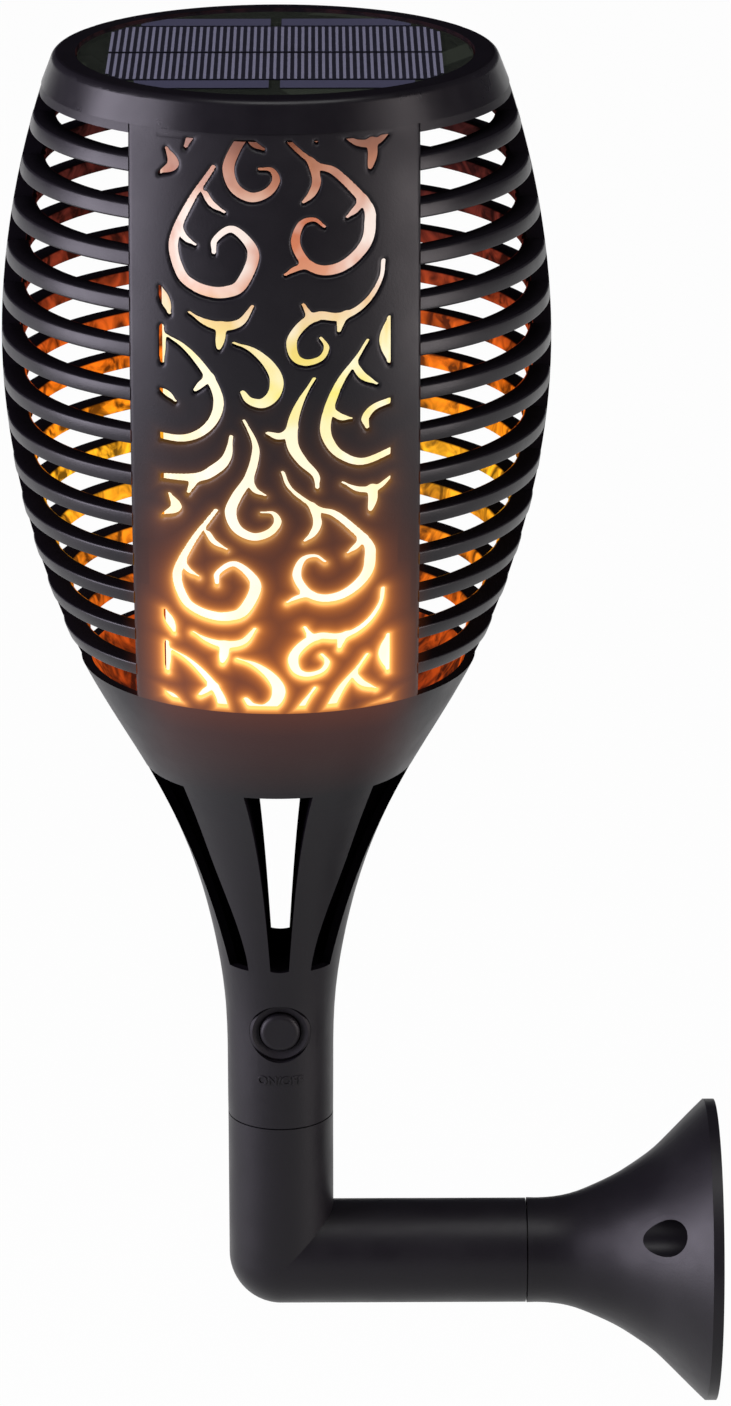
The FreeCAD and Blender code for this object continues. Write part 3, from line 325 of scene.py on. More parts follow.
def torch_effect(tree, place):
    """The lamp's light painted on the torch's plastic as a glow, and the cuts' specular level, as shader
    sockets.
    """
    height = add_node(tree, "SeparateXYZ", {0: place}, out="Z")
    glow = add_node(tree, "Mix", {0: 1.0, 6: flame_on_inside(tree, place, height),
                                  7: painted_shine_through(tree, place, height)}, **COLOUR_MIX, blend_type="ADD")
    return {"Specular IOR Level": cut_face_gloss(tree, place, height),
            "Emission Color": glow, "Emission Strength": 1.0}


# The same near black outside, with the lamp's light painted on as orange on the inner faces and brown in the
# bowl where the lamp shines through
torch_abs = moulded_abs("flame_lit_black_abs", lamp_effect=torch_effect)
for node in ("torch_neck", "side_rib_left", "side_rib_right", "cage_top_ring"):
    finish(node, torch_abs)


# ------------------------------------------------------------------ scrollwork panels
# Two curved strips of the lantern, front and back, in the same black ABS. The scrolls are moulded
# through openings with soft edges, and near the lamp a painted orange glow lies round them.

TORCH_PROFILE_MM = [(12.0, 35.6), (12.05, 50.0), (12.4, 62.0), (14.8, 79.4), (19.4, 97.3),
                    (26.8, 115.3), (36.7, 133.2), (45.5, 150.0), (53.2, 171.6), (58.0, 193.0),
                    (60.0, 219.5), (58.0, 243.3), (53.6, 264.3), (50.2, 275.6)]
PANEL_WALL_MM = 2.2
PANEL_HALF_WIDTH_MM = 30.5
PANEL_FOOT_MM = 146.4
PANEL_TOP_MM = 275.6
WINDOW_HALF_WIDTH_MM = 24.2
WINDOW_TOP_MM = 274.3
WINDOW_FOOT_MM = 147.6
REPEAT_HEIGHT_MM = 72.6
REPEAT_FOOT_MM = 202.4
PANEL_STEP_MM = 0.4
SOFT_EDGE_MM = 0.5
SOFT_EDGE_DEPTH = 0.7          # the edge is drawn in by this share of a full round
FILLET_MM = 0.5
THINNEST_CUT_MM = 0.95
SCROLL_REACH_MM = 6            # distances are worked out this far round a scroll
FAR_MM = 9.0                   # and taken as this beyond
LEAST_CLEARANCE_MM = 0.02      # keeps a cut from passing through a grid point
PROFILE_STEPS = 400
STEPS_PER_POINT = 10
HALO_END_MM = 20               # the distance to an opening is kept up to this
CURVED_PIECE_ANGLE = 50.0      # sharper bends than this, in degrees, stay sharp

# Each stroke in mm: (width at the start, in the middle, at the end, points across and up the panel)
SCROLLS = [
    # left volute with its two barbs
    (1.2, 2.8, 0.9, [(-12.6, 66.2), (-17.6, 58.7), (-21.0, 50.7), (-19.6, 44.5), (-16.8, 42.0), (-13.1, 40.9),
                     (-9.8, 41.1), (-7.0, 42.6), (-4.5, 47.7), (-5.1, 50.9), (-8.8, 53.9), (-12.3, 51.6),
                     (-12.6, 48.9)]),
    (1.4, 1.6, 0.5, [(-14.4, 60.9), (-13.0, 58.8), (-10.4, 57.3)]),
    (1.4, 1.6, 0.5, [(-19.8, 53.6), (-18.6, 51.6), (-16.5, 50.4)]),
    # right volute, which starts above the repeat, with its three barbs
    (0.8, 2.6, 0.8, [(1.5, 75.3), (3.3, 71.3), (8.8, 66.8), (13.0, 64.9), (19.2, 58.2), (19.9, 54.2),
                     (19.2, 50.7), (16.7, 47.7), (13.4, 45.8), (9.7, 45.5), (6.5, 47.2), (4.4, 51.2),
                     (5.6, 55.0), (8.3, 55.8), (10.4, 54.3)]),
    (1.6, 1.9, 0.9, [(7.6, 67.6), (8.8, 63.8), (7.9, 61.1), (6.1, 59.4)]),
    (1.6, 1.7, 0.5, [(18.6, 59.4), (17.0, 57.4), (15.2, 56.0)]),
    (1.6, 1.5, 0.6, [(7.4, 46.6), (4.6, 46.0), (2.3, 44.8)]),
    # stem scroll that hangs between the volutes, with its barb
    (0.8, 2.5, 0.8, [(-6.5, 14.0), (-4.4, 9.5), (-4.2, 6.3), (-5.6, 1.3), (-8.2, -3.0), (-9.5, -6.7),
                     (-8.2, -10.4), (-4.8, -12.2), (-1.4, -11.2), (0.4, -8.8), (-0.5, -6.7), (-3.0, -6.5)]),
    (1.4, 1.6, 0.7, [(-5.4, 1.0), (-4.4, -1.4), (-2.2, -2.6)]),
    # two leaves on stalks
    (0.5, 2.3, 0.8, [(-17.8, 36.4), (-14.5, 34.6), (-10.8, 33.9), (-7.1, 34.9), (-4.6, 38.3)]),
    (2.2, 2.0, 1.0, [(-11.1, 34.0), (-11.3, 31.5), (-11.7, 29.2)]),
    (0.5, 1.9, 1.0, [(14.1, -0.2), (17.6, -2.1), (21.4, -2.1), (24.2, 0.0)]),
    (2.2, 2.0, 1.0, [(20.3, -2.0), (20.5, -4.5), (20.0, -7.2)]),
    # hook
    (0.5, 2.9, 1.3, [(-8.5, 30.5), (-4.8, 29.2), (-1.5, 26.4), (0.3, 23.1), (-0.2, 19.8), (-2.5, 17.8),
                     (-5.3, 18.3), (-6.7, 20.1)]),
    # branch that runs off the left edge, with its barb
    (0.8, 2.2, 2.0, [(-22.7, 31.2), (-19.2, 29.3), (-16.0, 26.2), (-13.2, 22.2), (-11.8, 18.0), (-12.8, 14.0),
                     (-15.7, 10.8), (-19.9, 9.2), (-26.0, 9.6)]),
    (1.6, 1.8, 1.0, [(-13.4, 23.2), (-15.0, 21.8), (-16.7, 20.0)]),
    # right branch that curls in, with its two barbs
    (0.6, 2.3, 0.8, [(22.7, 46.7), (22.2, 43.1), (19.9, 39.2), (16.6, 36.6), (12.9, 35.7), (9.2, 36.1),
                     (5.9, 34.4), (3.6, 31.2), (4.1, 27.8), (6.4, 26.4), (9.6, 27.2), (10.8, 29.5),
                     (9.6, 31.5)]),
    (1.5, 1.4, 0.5, [(8.6, 35.6), (7.2, 36.6), (6.0, 38.6)]),
    (1.8, 1.6, 0.6, [(15.0, 36.2), (13.9, 34.6), (13.4, 32.7)]),
    # right branch that runs off the right edge, with its two barbs
    (0.5, 2.3, 2.0, [(19.4, 30.4), (17.1, 26.8), (13.8, 22.3), (11.5, 17.1), (10.5, 12.3), (11.3, 9.0),
                     (13.7, 6.0), (18.4, 4.1), (25.2, 6.2)]),
    (1.6, 1.9, 0.6, [(16.6, 25.4), (18.4, 22.8), (21.3, 20.9)]),
    (1.6, 1.9, 0.5, [(11.4, 16.2), (13.6, 14.4), (15.9, 13.9)]),
    # bud and arc on the right edge
    (0.5, 2.8, 0.5, [(23.9, 34.8), (23.2, 30.1), (23.9, 25.2)]),
    (1.8, 1.9, 0.8, [(25.0, 17.2), (20.8, 15.9), (18.9, 13.7), (19.3, 11.5)]),
    # wavy stem with its leaf
    (0.5, 2.6, 0.7, [(8.2, 23.0), (5.4, 18.3), (3.7, 13.5), (3.6, 8.7), (5.6, 5.0), (8.4, 1.8), (8.8, -1.2)]),
    (1.8, 2.0, 1.1, [(3.8, 12.4), (1.2, 10.6), (-1.6, 11.3)]),
    # lower branch that runs off the left edge, with its barb
    (0.5, 2.7, 1.6, [(-9.2, 10.5), (-10.2, 5.7), (-12.8, 2.8), (-16.7, 0.8), (-26.0, 0.3)]),
    (1.6, 1.5, 0.5, [(-16.0, 1.0), (-17.4, -0.8), (-18.4, -2.8)]),
    # leaves and buds on the left edge
    (0.6, 2.2, 0.5, [(-23.9, 41.2), (-22.9, 38.6), (-22.0, 35.8)]),
    (0.5, 2.2, 0.5, [(-23.6, 33.2), (-23.9, 29.6), (-23.6, 25.4)]),
    (0.5, 1.7, 0.4, [(-24.4, 19.8), (-22.6, 18.8), (-20.9, 17.3)]),
    (0.5, 2.4, 0.7, [(-22.4, -3.4), (-21.0, -6.4), (-23.8, -8.4)]),
]


def through_points(points, steps):
    """Points evenly along a smooth curve through the given points, a Catmull-Rom spline."""
    known = np.array(points, float)
    ends = np.vstack([2 * known[0] - known[1], known, 2 * known[-1] - known[-2]])
    found = []
    for place in np.linspace(0, len(known) - 1, steps):
        span = min(int(place), len(known) - 2)
        t = place - span
        a, b, c, d = ends[span:span + 4]
        found.append(0.5 * (2 * b + (c - a) * t + (2 * a - 5 * b + 4 * c - d) * t ** 2
                            + (3 * b - a - 3 * c + d) * t ** 3))
    return np.array(found)


PROFILE_CURVE = through_points(TORCH_PROFILE_MM, PROFILE_STEPS)


def torch_radius(z_mm):
    """Outside radius of the torch at a height."""
    return np.interp(z_mm, PROFILE_CURVE[:, 1], PROFILE_CURVE[:, 0])


def scroll_clearance(x, z):
    """Distance from each point of the panel to the nearest scroll's edge, less than zero inside it."""
    nearest = np.full(x.shape, FAR_MM)
    for repeat in (1, 0, -1):
        for start_width, middle_width, end_width, points in SCROLLS:
            line = through_points(points, STEPS_PER_POINT * len(points))
            line[:, 1] += REPEAT_FOOT_MM + repeat * REPEAT_HEIGHT_MM
            share = np.linspace(0, 1, len(line))
            tip = np.where(share < 0.5, start_width, end_width)
            half = np.maximum(tip + (middle_width - tip) * np.sin(np.pi * share), THINNEST_CUT_MM) / 2
            left, foot = line.min(axis=0) - SCROLL_REACH_MM
            right, top = line.max(axis=0) + SCROLL_REACH_MM
            close = (x > left) & (x < right) & (z > foot) & (z < top)
            if not close.any():
                continue
            away = np.hypot(x[close][:, None] - line[:, 0], z[close][:, None] - line[:, 1]) - half
            away = away.min(axis=1)
            mix = np.maximum(FILLET_MM - np.abs(away - nearest[close]), 0) / FILLET_MM
            nearest[close] = np.minimum(away, nearest[close]) - mix ** 2 * FILLET_MM / 4
    beyond = np.maximum(z - WINDOW_TOP_MM, WINDOW_FOOT_MM - z)
    return np.maximum(nearest, np.maximum(np.abs(x) - WINDOW_HALF_WIDTH_MM, beyond))


def pierced_sheet():
    """Flat points, faces and edge distances of the panel, with the scrolls cut out cell by cell."""
    columns = np.linspace(-PANEL_HALF_WIDTH_MM, PANEL_HALF_WIDTH_MM,
                          round(2 * PANEL_HALF_WIDTH_MM / PANEL_STEP_MM) + 1)
    rows = np.linspace(PANEL_FOOT_MM, PANEL_TOP_MM,
                       round((PANEL_TOP_MM - PANEL_FOOT_MM) / PANEL_STEP_MM) + 1)
    x, z = np.meshgrid(columns, rows)
    clear = scroll_clearance(x, z)
    clear[np.abs(clear) < LEAST_CLEARANCE_MM] = LEAST_CLEARANCE_MM
    points = []
    distances = []
    known = {}

    def corner(row, column):
        key = (row, column)
        if key not in known:
            known[key] = len(points)
            points.append((columns[column], rows[row]))
            distances.append(clear[row, column])
        return known[key]

    def crossing(first, second):
        key = (min(first, second), max(first, second))
        if key not in known:
            a, b = clear[key[0]], clear[key[1]]
            share = a / (a - b)
            known[key] = len(points)
            points.append((columns[key[0][1]] + (columns[key[1][1]] - columns[key[0][1]]) * share,
                           rows[key[0][0]] + (rows[key[1][0]] - rows[key[0][0]]) * share))
            distances.append(0.0)
        return known[key]

    faces = []
    for row in range(len(rows) - 1):
        for column in range(len(columns) - 1):
            cell = [(row, column), (row, column + 1), (row + 1, column + 1), (row + 1, column)]
            face = []
            for here, after in zip(cell, cell[1:] + cell[:1]):
                if clear[here] > 0:
                    face.append(corner(*here))
                if (clear[here] > 0) != (clear[after] > 0):
                    face.append(crossing(here, after))
            if len(face) > 2:
                faces.append(face)
    return np.array(points), faces, np.array(distances)


def outline_edges(faces):
    """The directed edges that only one face has."""
    edges = dict.fromkeys((a, b) for face in faces for a, b in zip(face, face[1:] + face[:1]))
    return [(a, b) for a, b in edges if (b, a) not in edges]


def scrollwork_panel(name, facing, sheet, material):
    """The curved panel. facing is -1 at the front and 1 at the back."""
    flat, faces, distances = sheet
    x, z = flat[:, 0], flat[:, 1]
    radius = torch_radius(z)
    to_edge = np.minimum(distances, PANEL_HALF_WIDTH_MM - np.abs(x))
    rim = np.clip(SOFT_EDGE_MM - to_edge, 0, SOFT_EDGE_MM)
    drawn_in = SOFT_EDGE_MM - np.sqrt(SOFT_EDGE_MM ** 2 - rim ** 2)
    outer = np.sqrt(radius ** 2 - x ** 2) - drawn_in * SOFT_EDGE_DEPTH
    inner = np.sqrt((radius - PANEL_WALL_MM) ** 2 - x ** 2)
    count = len(flat)
    turned_x = -facing * x
    places = np.vstack([np.column_stack([turned_x, facing * outer, z]),
                        np.column_stack([turned_x, facing * inner, z])]) * MM + np.array(HEAD)
    walls = [(b, a, a + count, b + count) for a, b in outline_edges(faces)]
    back = [[v + count for v in reversed(face)] for face in faces]
    panel = new_piece(name, places, faces + back + walls, material, CURVED_PIECE_ANGLE)
    reach = panel.data.attributes.new("to_scroll", "FLOAT", "POINT")
    reach.data.foreach_set("value", np.concatenate([distances, distances]).clip(0, HALO_END_MM))
    return panel


# Painted glow round each opening: (fall-off in mm, colour at full strength), and its strength by height
HALO = [(0.4, "#ffd888"), (1.1, "#fa921c"), (3.4, "#7c3a04")]
HALO_HEIGHT = [(140.0, 0.75), (160.0, 0.85), (172.0, 0.7), (182.0, 0.42), (194.0, 0.16),
               (206.0, 0.05), (222.0, 0.0)]


def panel_effect(tree, place):
    """The torch's painted lamplight, and a painted orange glow that fades away from the openings' edges."""
    sockets = torch_effect(tree, place)
    height = add_node(tree, "SeparateXYZ", {0: place}, out="Z")
    distance = add_node(tree, "Attribute", out="Fac", attribute_name="to_scroll")
    halo = (0.0, 0.0, 0.0, 1.0)
    for reach, colour in HALO:
        falling = add_node(tree, "Math", {0: distance, 1: -1 / reach}, operation="MULTIPLY")
        near = add_node(tree, "Math", {0: falling}, operation="EXPONENT")
        halo = add_node(tree, "Mix", {0: near, 6: halo, 7: linear(colour)}, **COLOUR_MIX, blend_type="ADD")
    halo = add_node(tree, "Mix", {0: 1.0, 6: halo, 7: height_ramp(tree, height, HALO_HEIGHT)},
                    **COLOUR_MIX, blend_type="MULTIPLY")
    sockets["Emission Color"] = add_node(tree, "Mix", {0: 1.0, 6: sockets["Emission Color"], 7: halo},
                                         **COLOUR_MIX, blend_type="ADD")
    return sockets


# The torch's ABS, with a painted glow: a bright orange line that fades away from each opening
panel_abs = moulded_abs("flame_lit_black_abs_with_halo", lamp_effect=panel_effect)
sheet = pierced_sheet()

front_panel = scrollwork_panel("scrollwork_front", -1, sheet, panel_abs)
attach(front_panel, "head")
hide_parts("front_panel")

back_panel = scrollwork_panel("scrollwork_back", 1, sheet, panel_abs)
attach(back_panel, "head")
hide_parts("back_panel")


# ------------------------------------------------------------------ side slats
# Thirteen level rings between the panels and the side ribs, part of the lantern's moulding. Each
# is a flat bar bent to the lantern's curve, with edges rounded half a millimetre for the mould.

SLAT_COUNT = 13
SLAT_LOW_MM = 154.0
SLAT_HIGH_MM = 267.7
SLAT_HEIGHT_MM = 3.2
SLAT_DEPTH_MM = 5.0
SLAT_ROUND_MM = 0.5
RIB_HALF_WIDTH_MM = 1.6
SLAT_STEPS = 26
CORNER_STEPS = 3
# Each group: (name, side of the torch, -1 for the front and 1 for the back)
SLAT_GROUPS = [("front_left", -1, -1), ("front_right", 1, -1), ("back_left", -1, 1), ("back_right", 1, 1)]


def rounded_section(corners, radius):
    """A closed outline with its corners rounded; corners are (distance from the axis, height)."""
    section = []
    count = len(corners)
    for number, corner in enumerate(corners):
        here = Vector(corner)
        before = (Vector(corners[number - 1]) - here).normalized() * radius
        after = (Vector(corners[(number + 1) % count]) - here).normalized() * radius
        for step in range(CORNER_STEPS + 1):
            turn = math.pi / 2 * step / CORNER_STEPS
            section.append(here + before * (1 - math.sin(turn)) + after * (1 - math.cos(turn)))
    return section


def slat(middle_z, side, front):
    """Points and faces of one bar from a panel's edge to a side rib."""
    low, high = middle_z - SLAT_HEIGHT_MM / 2, middle_z + SLAT_HEIGHT_MM / 2
    outer_low, outer_high = torch_radius(low), torch_radius(high)
    section = rounded_section([(outer_low, low), (outer_high, high), (outer_high - SLAT_DEPTH_MM, high),
                               (outer_low - SLAT_DEPTH_MM, low)], SLAT_ROUND_MM)
    points = []
    for step in range(SLAT_STEPS + 1):
        for radius, z in section:
            start = math.asin(PANEL_HALF_WIDTH_MM / radius)
            end = math.acos(RIB_HALF_WIDTH_MM / radius)
            turn = start + (end - start) * step / SLAT_STEPS
            across, out = side * radius * math.sin(turn), front * radius * math.cos(turn)
            points.append(HEAD + Vector((across, out, z)) * MM)
    size = len(section)
    faces = [(step * size + k, step * size + (k + 1) % size, (step + 1) * size + (k + 1) % size,
              (step + 1) * size + k) for step in range(SLAT_STEPS) for k in range(size)]
    faces += [tuple(range(size - 1, -1, -1)), tuple(range(SLAT_STEPS * size, (SLAT_STEPS + 1) * size))]
    if side * front > 0:
        faces = [face[::-1] for face in faces]
    return points, faces


# The torch's ABS with its painted lamplight, a little glossier on these narrow bars
slat_abs = moulded_abs("slat_black_abs", roughness=0.36, lamp_effect=torch_effect)
for group, side, front in SLAT_GROUPS:
    points = []
    faces = []
    for middle_z in np.linspace(SLAT_LOW_MM, SLAT_HIGH_MM, SLAT_COUNT):
        bar_points, bar_faces = slat(middle_z, side, front)
        faces += [tuple(v + len(points) for v in face) for face in bar_faces]
        points += bar_points
    bars = new_piece("slat_bars_" + group, points, faces, slat_abs, CURVED_PIECE_ANGLE)
    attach(bars, "head")
    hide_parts("slats_" + group)


# ------------------------------------------------------------------ diffuser
# The opal tube round the lamp, of thin milky polypropylene, held between a white disc on the bowl's
# floor and a white lid that hangs from the tray. It looks lit all over: bright cream low down,
# yellower half way up, and rosy to dull amber above.

# Lit colour against height in mm, once where the flame is pale and once where it is deep
PALE_FLAME = [(146.0, "#fff8ea"), (190.0, "#fff5dc"), (205.0, "#fdf3cf"), (220.0, "#f6f0c8"),
              (235.0, "#f4e8de"), (250.0, "#f2e2d8"), (256.0, "#e0b8a0"), (262.0, "#b87858"),
              (268.0, "#7a4028")]
DEEP_FLAME = [(146.0, "#fff0d0"), (190.0, "#fff0c0"), (200.0, "#f6e49a"), (212.0, "#ece46a"),
              (225.0, "#e8d070"), (235.0, "#d89a78"), (245.0, "#c8704a"), (254.0, "#b8603c"),
              (268.0, "#5a2a18")]
FLAME_POWER = [(146.0, 1.15), (175.0, 1.1), (190.0, 1.04), (205.0, 1.0), (268.0, 0.95)]
FLAME_MM = 17.0
UNLIT_OPAL_HEX = "#6a6258"

# Milky plastic with soft tongues of flame on it, brightest at the foot
opal, tree = new_material("lit_opal_polypropylene")
place = add_node(tree, "TexCoord", out="Object")
height = add_node(tree, "SeparateXYZ", {0: place}, out="Z")
mirrored = add_node(tree, "Mapping", {"Vector": place, "Location": (2 * HEAD.x, 0.0, 0.0),
                                      "Scale": (-1.0, 1.0, 1.0)})     # deep tongues on the right
tongues = add_node(tree, "TexNoise", {"Vector": mirrored, "Scale": 1 / (FLAME_MM * MM), "Detail": 3.0})
depth = add_node(tree, "MapRange", {"Value": tongues, "From Min": 0.4, "From Max": 0.6})
flame = add_node(tree, "Mix", {0: depth, 6: height_ramp(tree, height, PALE_FLAME),
                               7: height_ramp(tree, height, DEEP_FLAME)}, **COLOUR_MIX)
top_power = max(power for z, power in FLAME_POWER)      # a ramp holds no number above 1
power_share = height_ramp(tree, height, [(z, power / top_power) for z, power in FLAME_POWER])
power = add_node(tree, "Math", {0: power_share, 1: top_power}, operation="MULTIPLY")
milky = add_node(tree, "BsdfPrincipled", {"Base Color": linear(UNLIT_OPAL_HEX), "Roughness": 0.5,
                                          "Emission Color": flame, "Emission Strength": power})
add_node(tree, "OutputMaterial", {"Surface": milky})
finish("diffuser_tube", opal)

# Off-white with a soft wide highlight
white_pp = mottled("white_polypropylene", "#d2cec4", "#dedad2", 4.0, 0.45)
for node in ("diffuser_base", "diffuser_top", "led_core"):
    finish(node, white_pp)


# ------------------------------------------------------------------ lamp, cell and wiring
# Inside the diffuser: a flexible board with rows of amber diodes round a white core, a sleeved
# lithium cell in its black holder, and thin insulated wires. Only the two wires down to the
# switch can be glimpsed, through the slots of the neck.

# Satin white lacquer, glossy amber lenses, a smooth blue sleeve, and plain red insulation
finish("led_flex_board", mottled("white_solder_mask", "#e4e2da", "#d4d2ca", 6.0, 0.35))
finish("led_chips", mottled("amber_phosphor", "#e0a030", "#f0b848", 0.8, 0.3))
finish("battery_cell", mottled("heat_shrink_sleeve", "#1c4f8a", "#235a99", 8.0, 0.3))
finish("battery_holder", torch_abs)
wire = mottled("pvc_insulation", "#8a1515", "#a02020", 3.0, 0.4)
for node in ("battery_leads", "switch_leads", "solar_leads"):
    finish(node, wire)


# ------------------------------------------------------------------ solar cap
# The lid of the lantern, moulded in black ABS, with a raised lip round the laminate. It plugs into
# the top ring. The tray with the charging board is screwed up to it from below, against a seal.

# The lid's mould was polished, so it is a little brighter than the cage. It carries the torch's painted
# lamplight on its inner faces.
cap_abs = moulded_abs("polished_black_abs", roughness=0.3, grain_strength=0.06, lamp_effect=torch_effect)
finish("solar_cap", cap_abs)
finish("cap_tray", torch_abs)
finish("cap_seal", rubber)

# Grey metal with a fine dull bloom, green lacquer over copper, and matt black component bodies
zinc = mottled("zinc_plated_steel", "#9a9a98", "#b4b4b0", 0.6, 0.32, metallic=1.0)
for node in ("cap_screws", "board_screws", "switch_screws"):
    finish(node, zinc)
green_board = mottled("green_solder_mask", "#14401f", "#1a4c26", 5.0, 0.35)
for node in ("control_board", "switch_board"):
    finish(node, green_board)
finish("board_components", mottled("moulded_epoxy", "#1a1a1c", "#242426", 1.5, 0.4))


# ------------------------------------------------------------------ solar laminate
# A round glass-fibre board with two rows of silicon under clear epoxy. Silver lines printed on the
# silicon collect the current, and a split strip lies beyond each row.

BOARD_HEX = "#363c30"
BOARD_THREAD_HEX = "#42483c"
BOARD_CLOUD_MM = 5.0
FIBRE_PITCH_MM = 0.9
UNDER_EPOXY_SPECULAR = 0.1      # board and silicon lie in resin, so they hardly mirror
SILICON_HEX = "#12111c"
SILICON_GRAIN_HEX = "#1b1a29"
SILICON_GRAIN_MM = 3.5
STRIP_HEX = "#4c4c62"
STRIP_START_MM = 26.8
STRIP_INSET_MM = 0.2
STRIP_END_MM = 34.0
STRIP_GAP_MM = 2.4
STRIP_HALF_WIDTH_MM = 29.6
ROW_GAP_MM = 1.0
ROW_DEPTH_MM = 25.5
ROW_HALF_WIDTH_MM = 35.6
CELL_DISC_R_MM = 41.4
PLATE_LIFT_MM = 0.03            # the plates bed a hair above their flat seat in the epoxy
PLATE_STEPS = 9
SILVER_HEX = "#8c8ca2"
SILVER_SHADE_HEX = "#7e7e94"
FINGER_PITCH_MM = 1.48
FINGER_WIDTH_MM = 0.62
FINGER_HEIGHT_MM = 0.03
FINGER_END_MM = 0.5             # a line stops this far from its row's ends
FINGER_ROUND_END_MM = 0.7       # and this far from the round edge
EPOXY_HEX = "#101018"
EPOXY_ALPHA = 0.15
EPOXY_RIPPLE_MM = 12.0

# Dull olive board on which the weave of the glass threads just shows
glass_fibre, tree = new_material("glass_fibre_board")
place = add_node(tree, "TexCoord", out="Object")
flat = add_node(tree, "NewGeometry", out="True Normal")
threads = add_node(tree, "TexChecker", {"Vector": place, "Scale": 1 / (FIBRE_PITCH_MM * MM)}, out="Fac")
clouds = add_node(tree, "TexNoise", {"Vector": place, "Scale": 1 / (BOARD_CLOUD_MM * MM), "Detail": 3.0})
weave = add_node(tree, "Math", {0: threads, 1: clouds}, operation="MULTIPLY")
board_bump = add_node(tree, "Bump", {"Height": weave, "Strength": 0.1, "Distance": 0.1 * MM, "Normal": flat})
board_colour = add_node(tree, "Mix", {0: weave, 6: linear(BOARD_HEX), 7: linear(BOARD_THREAD_HEX)},
                        **COLOUR_MIX)
board = add_node(tree, "BsdfPrincipled", {"Base Color": board_colour, "Roughness": 0.5,
                                          "Specular IOR Level": UNDER_EPOXY_SPECULAR, "Normal": board_bump})
add_node(tree, "OutputMaterial", {"Surface": board})
finish("solar_board", glass_fibre)

# Blue-black silicon in crystal grains of slightly different tone, and the paler tinned strips
silicon_and_strip, tree = new_material("silicon_and_tinned_strip")
place = add_node(tree, "TexCoord", out="Object")
grains = add_node(tree, "TexVoronoi", {"Vector": place, "Scale": 1 / (SILICON_GRAIN_MM * MM)}, out="Color")
grain_tone = add_node(tree, "SeparateColor", {0: grains})
silicon = add_node(tree, "Mix", {0: grain_tone, 6: linear(SILICON_HEX), 7: linear(SILICON_GRAIN_HEX)},
                   **COLOUR_MIX)
along = add_node(tree, "SeparateXYZ", {0: place}, out="Y")
from_middle = add_node(tree, "Math", {0: along}, operation="ABSOLUTE")
on_strip = add_node(tree, "Math", {0: from_middle, 1: STRIP_START_MM * MM}, operation="GREATER_THAN")
cell_colour = add_node(tree, "Mix", {0: on_strip, 6: silicon, 7: linear(STRIP_HEX)}, **COLOUR_MIX)
cell_roughness = add_node(tree, "MapRange", {"Value": on_strip, "To Min": 0.3, "To Max": 0.45})
cells = add_node(tree, "BsdfPrincipled", {"Base Color": cell_colour, "Roughness": cell_roughness,
                                          "Specular IOR Level": UNDER_EPOXY_SPECULAR})
add_node(tree, "OutputMaterial", {"Surface": cells})


def plate(left, right, low, high, foot, top):
    """A flat plate cut to the round of the board. Sides are in mm from the axis, heights in metres."""
    side = np.linspace(low, high, PLATE_STEPS)
    chord = np.sqrt(CELL_DISC_R_MM ** 2 - side ** 2)
    outline = list(zip(np.minimum(right, chord), side)) + list(zip(np.maximum(left, -chord), side))[::-1]
    count = len(outline)
    points = [Vector((HEAD.x + x * MM, y * MM, z)) for z in (foot, top) for x, y in outline]
    faces = [tuple(range(count - 1, -1, -1)), tuple(range(count, 2 * count))]
    faces += [(k, (k + 1) % count, (k + 1) % count + count, k + count) for k in range(count)]
    return points, faces


plate_foot, plate_top = (corner[2] + PLATE_LIFT_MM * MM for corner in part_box("solar_cells"))
points = []
faces = []
for row in (-1, 1):
    row_ends = sorted((row * ROW_GAP_MM / 2, row * (ROW_GAP_MM / 2 + ROW_DEPTH_MM)))
    strip_ends = sorted((row * (STRIP_START_MM + STRIP_INSET_MM), row * STRIP_END_MM))
    for sides in ((-ROW_HALF_WIDTH_MM, ROW_HALF_WIDTH_MM, *row_ends),
                  (STRIP_GAP_MM / 2, STRIP_HALF_WIDTH_MM, *strip_ends),
                  (-STRIP_HALF_WIDTH_MM, -STRIP_GAP_MM / 2, *strip_ends)):
        new_points, new_faces = plate(*sides, plate_foot, plate_top)
        faces += [tuple(v + len(points) for v in face) for face in new_faces]
        points += new_points
plates = new_piece("solar_silicon_plates", points, faces, silicon_and_strip)
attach(plates, "head")
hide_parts("solar_cells")

# Pale lilac grey and dull, as fired silver paste is under resin
silver = mottled("fired_silver_paste", SILVER_HEX, SILVER_SHADE_HEX, 1.5, 0.45)
points = []
faces = []
reach = int(ROW_HALF_WIDTH_MM / FINGER_PITCH_MM)
for number in range(-reach, reach + 1):
    x = number * FINGER_PITCH_MM
    round_end = math.sqrt(CELL_DISC_R_MM ** 2 - x ** 2) - FINGER_ROUND_END_MM
    for row in (-1, 1):
        near = ROW_GAP_MM / 2 + FINGER_END_MM
        far = min(ROW_GAP_MM / 2 + ROW_DEPTH_MM - FINGER_END_MM, round_end)
        base = len(points)
        for z in (plate_top, plate_top + FINGER_HEIGHT_MM * MM):
            for edge, y in ((-1, near), (1, near), (1, far), (-1, far)):
                points.append(Vector((HEAD.x + (x + edge * FINGER_WIDTH_MM / 2) * MM, row * y * MM, z)))
        ring = [(0, 1, 5, 4), (1, 2, 6, 5), (2, 3, 7, 6), (3, 0, 4, 7), (4, 5, 6, 7)]
        faces += [tuple(base + v for v in (face if row > 0 else face[::-1])) for face in ring]
fingers = new_piece("solar_silver_lines", points, faces, silver)
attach(fingers, "head")

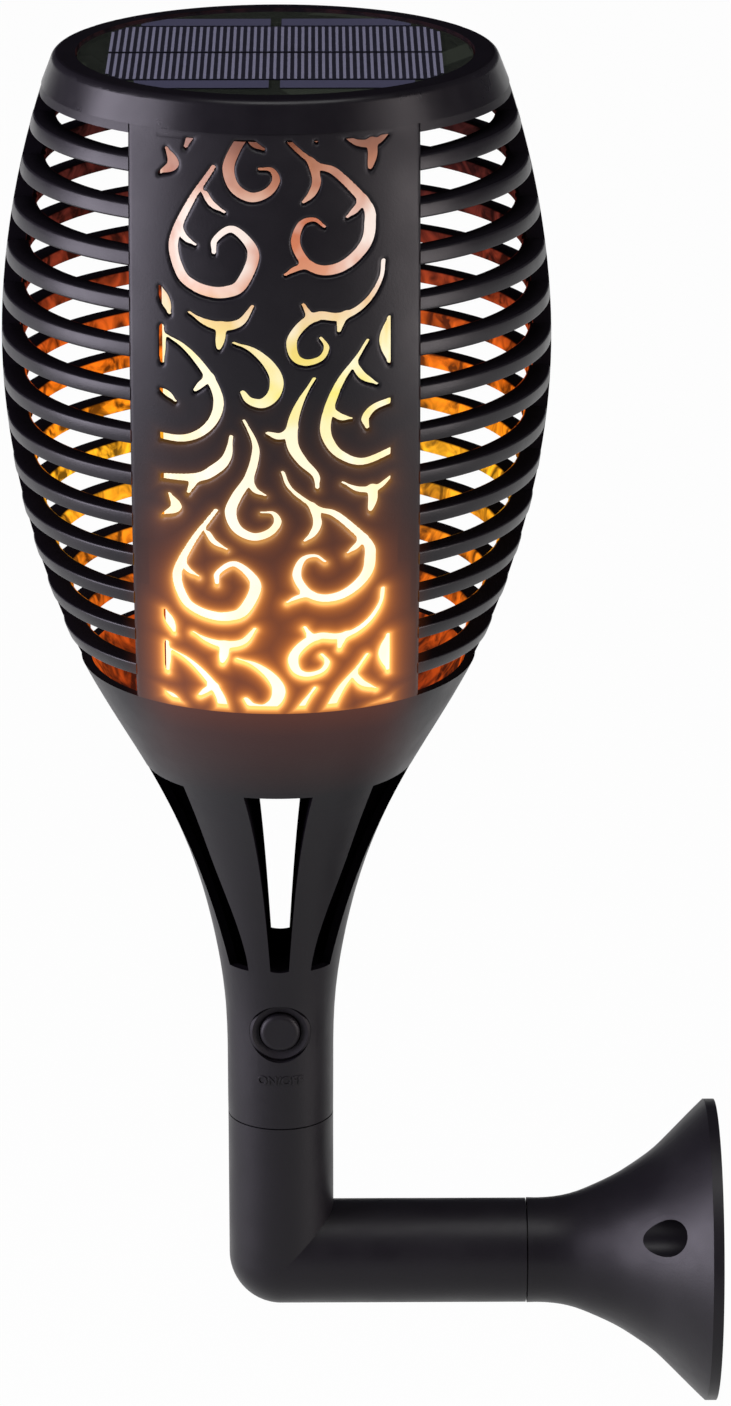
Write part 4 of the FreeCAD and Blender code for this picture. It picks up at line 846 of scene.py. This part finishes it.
# A thin clear film, barely rippled, that adds a soft glare and lets the cells show
clear_epoxy, tree = new_material("clear_epoxy")
place = add_node(tree, "TexCoord", out="Object")
flat = add_node(tree, "NewGeometry", out="True Normal")
ripple = add_node(tree, "TexNoise", {"Vector": place, "Scale": 1 / (EPOXY_RIPPLE_MM * MM), "Detail": 2.0})
ripple_bump = add_node(tree, "Bump", {"Height": ripple, "Strength": 0.04, "Distance": 0.5 * MM,
                                      "Normal": flat})
epoxy = add_node(tree, "BsdfPrincipled", {"Base Color": linear(EPOXY_HEX), "Roughness": 0.2,
                                          "Alpha": EPOXY_ALPHA, "IOR": 1.5, "Normal": ripple_bump})
add_node(tree, "OutputMaterial", {"Surface": epoxy})
finish("solar_resin", clear_epoxy)


# ------------------------------------------------------------------ switch
# A round ABS push button in a soft rubber ring, all black, kept in the front of the tube by its
# flange. The words under it are moulded into the tube in low relief, and only say what it does.

LEGEND_Z_MM = 46.4
LEGEND_HEIGHT_MM = 2.9
LEGEND_RELIEF_MM = 0.22
LEGEND_EDGE_MM = 0.06
TUBE_R_MM = 12.0

# Rubber with no shine, a duller ABS for the button, and grey-black nylon out of sight
finish("button_bezel", mottled("soft_black_rubber", "#121014", "#1a181c", 1.0, 0.6, specular=0.2))
finish("button_cap", moulded_abs("button_black_abs", roughness=0.48))
nylon = mottled("black_nylon", "#1c1c1e", "#262628", 1.5, 0.45)
for node in ("switch_body", "switch_plunger"):
    finish(node, nylon)

words = bpy.data.curves.new("switch_words", "FONT")
words.body = "ON/OFF"
words.align_x = "CENTER"
words.size = LEGEND_HEIGHT_MM * MM
words.extrude = LEGEND_RELIEF_MM * MM
words.bevel_depth = LEGEND_EDGE_MM * MM
flat_words = bpy.data.objects.new("switch_words_flat", words)
bpy.context.scene.collection.objects.link(flat_words)
words_as_shaped = flat_words.evaluated_get(bpy.context.evaluated_depsgraph_get())
legend_mesh = bpy.data.meshes.new_from_object(words_as_shaped)
bpy.data.objects.remove(flat_words)
for vertex in legend_mesh.vertices:
    along, up, out = vertex.co / MM
    turn = along / TUBE_R_MM
    radius = TUBE_R_MM + out
    vertex.co = HEAD + Vector((radius * math.sin(turn), -radius * math.cos(turn), LEGEND_Z_MM + up)) * MM
legend_mesh.materials.clear()
legend_mesh.materials.append(black_abs)
legend = bpy.data.objects.new("switch_words", legend_mesh)
bpy.context.scene.collection.objects.link(legend)
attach(legend, "head")
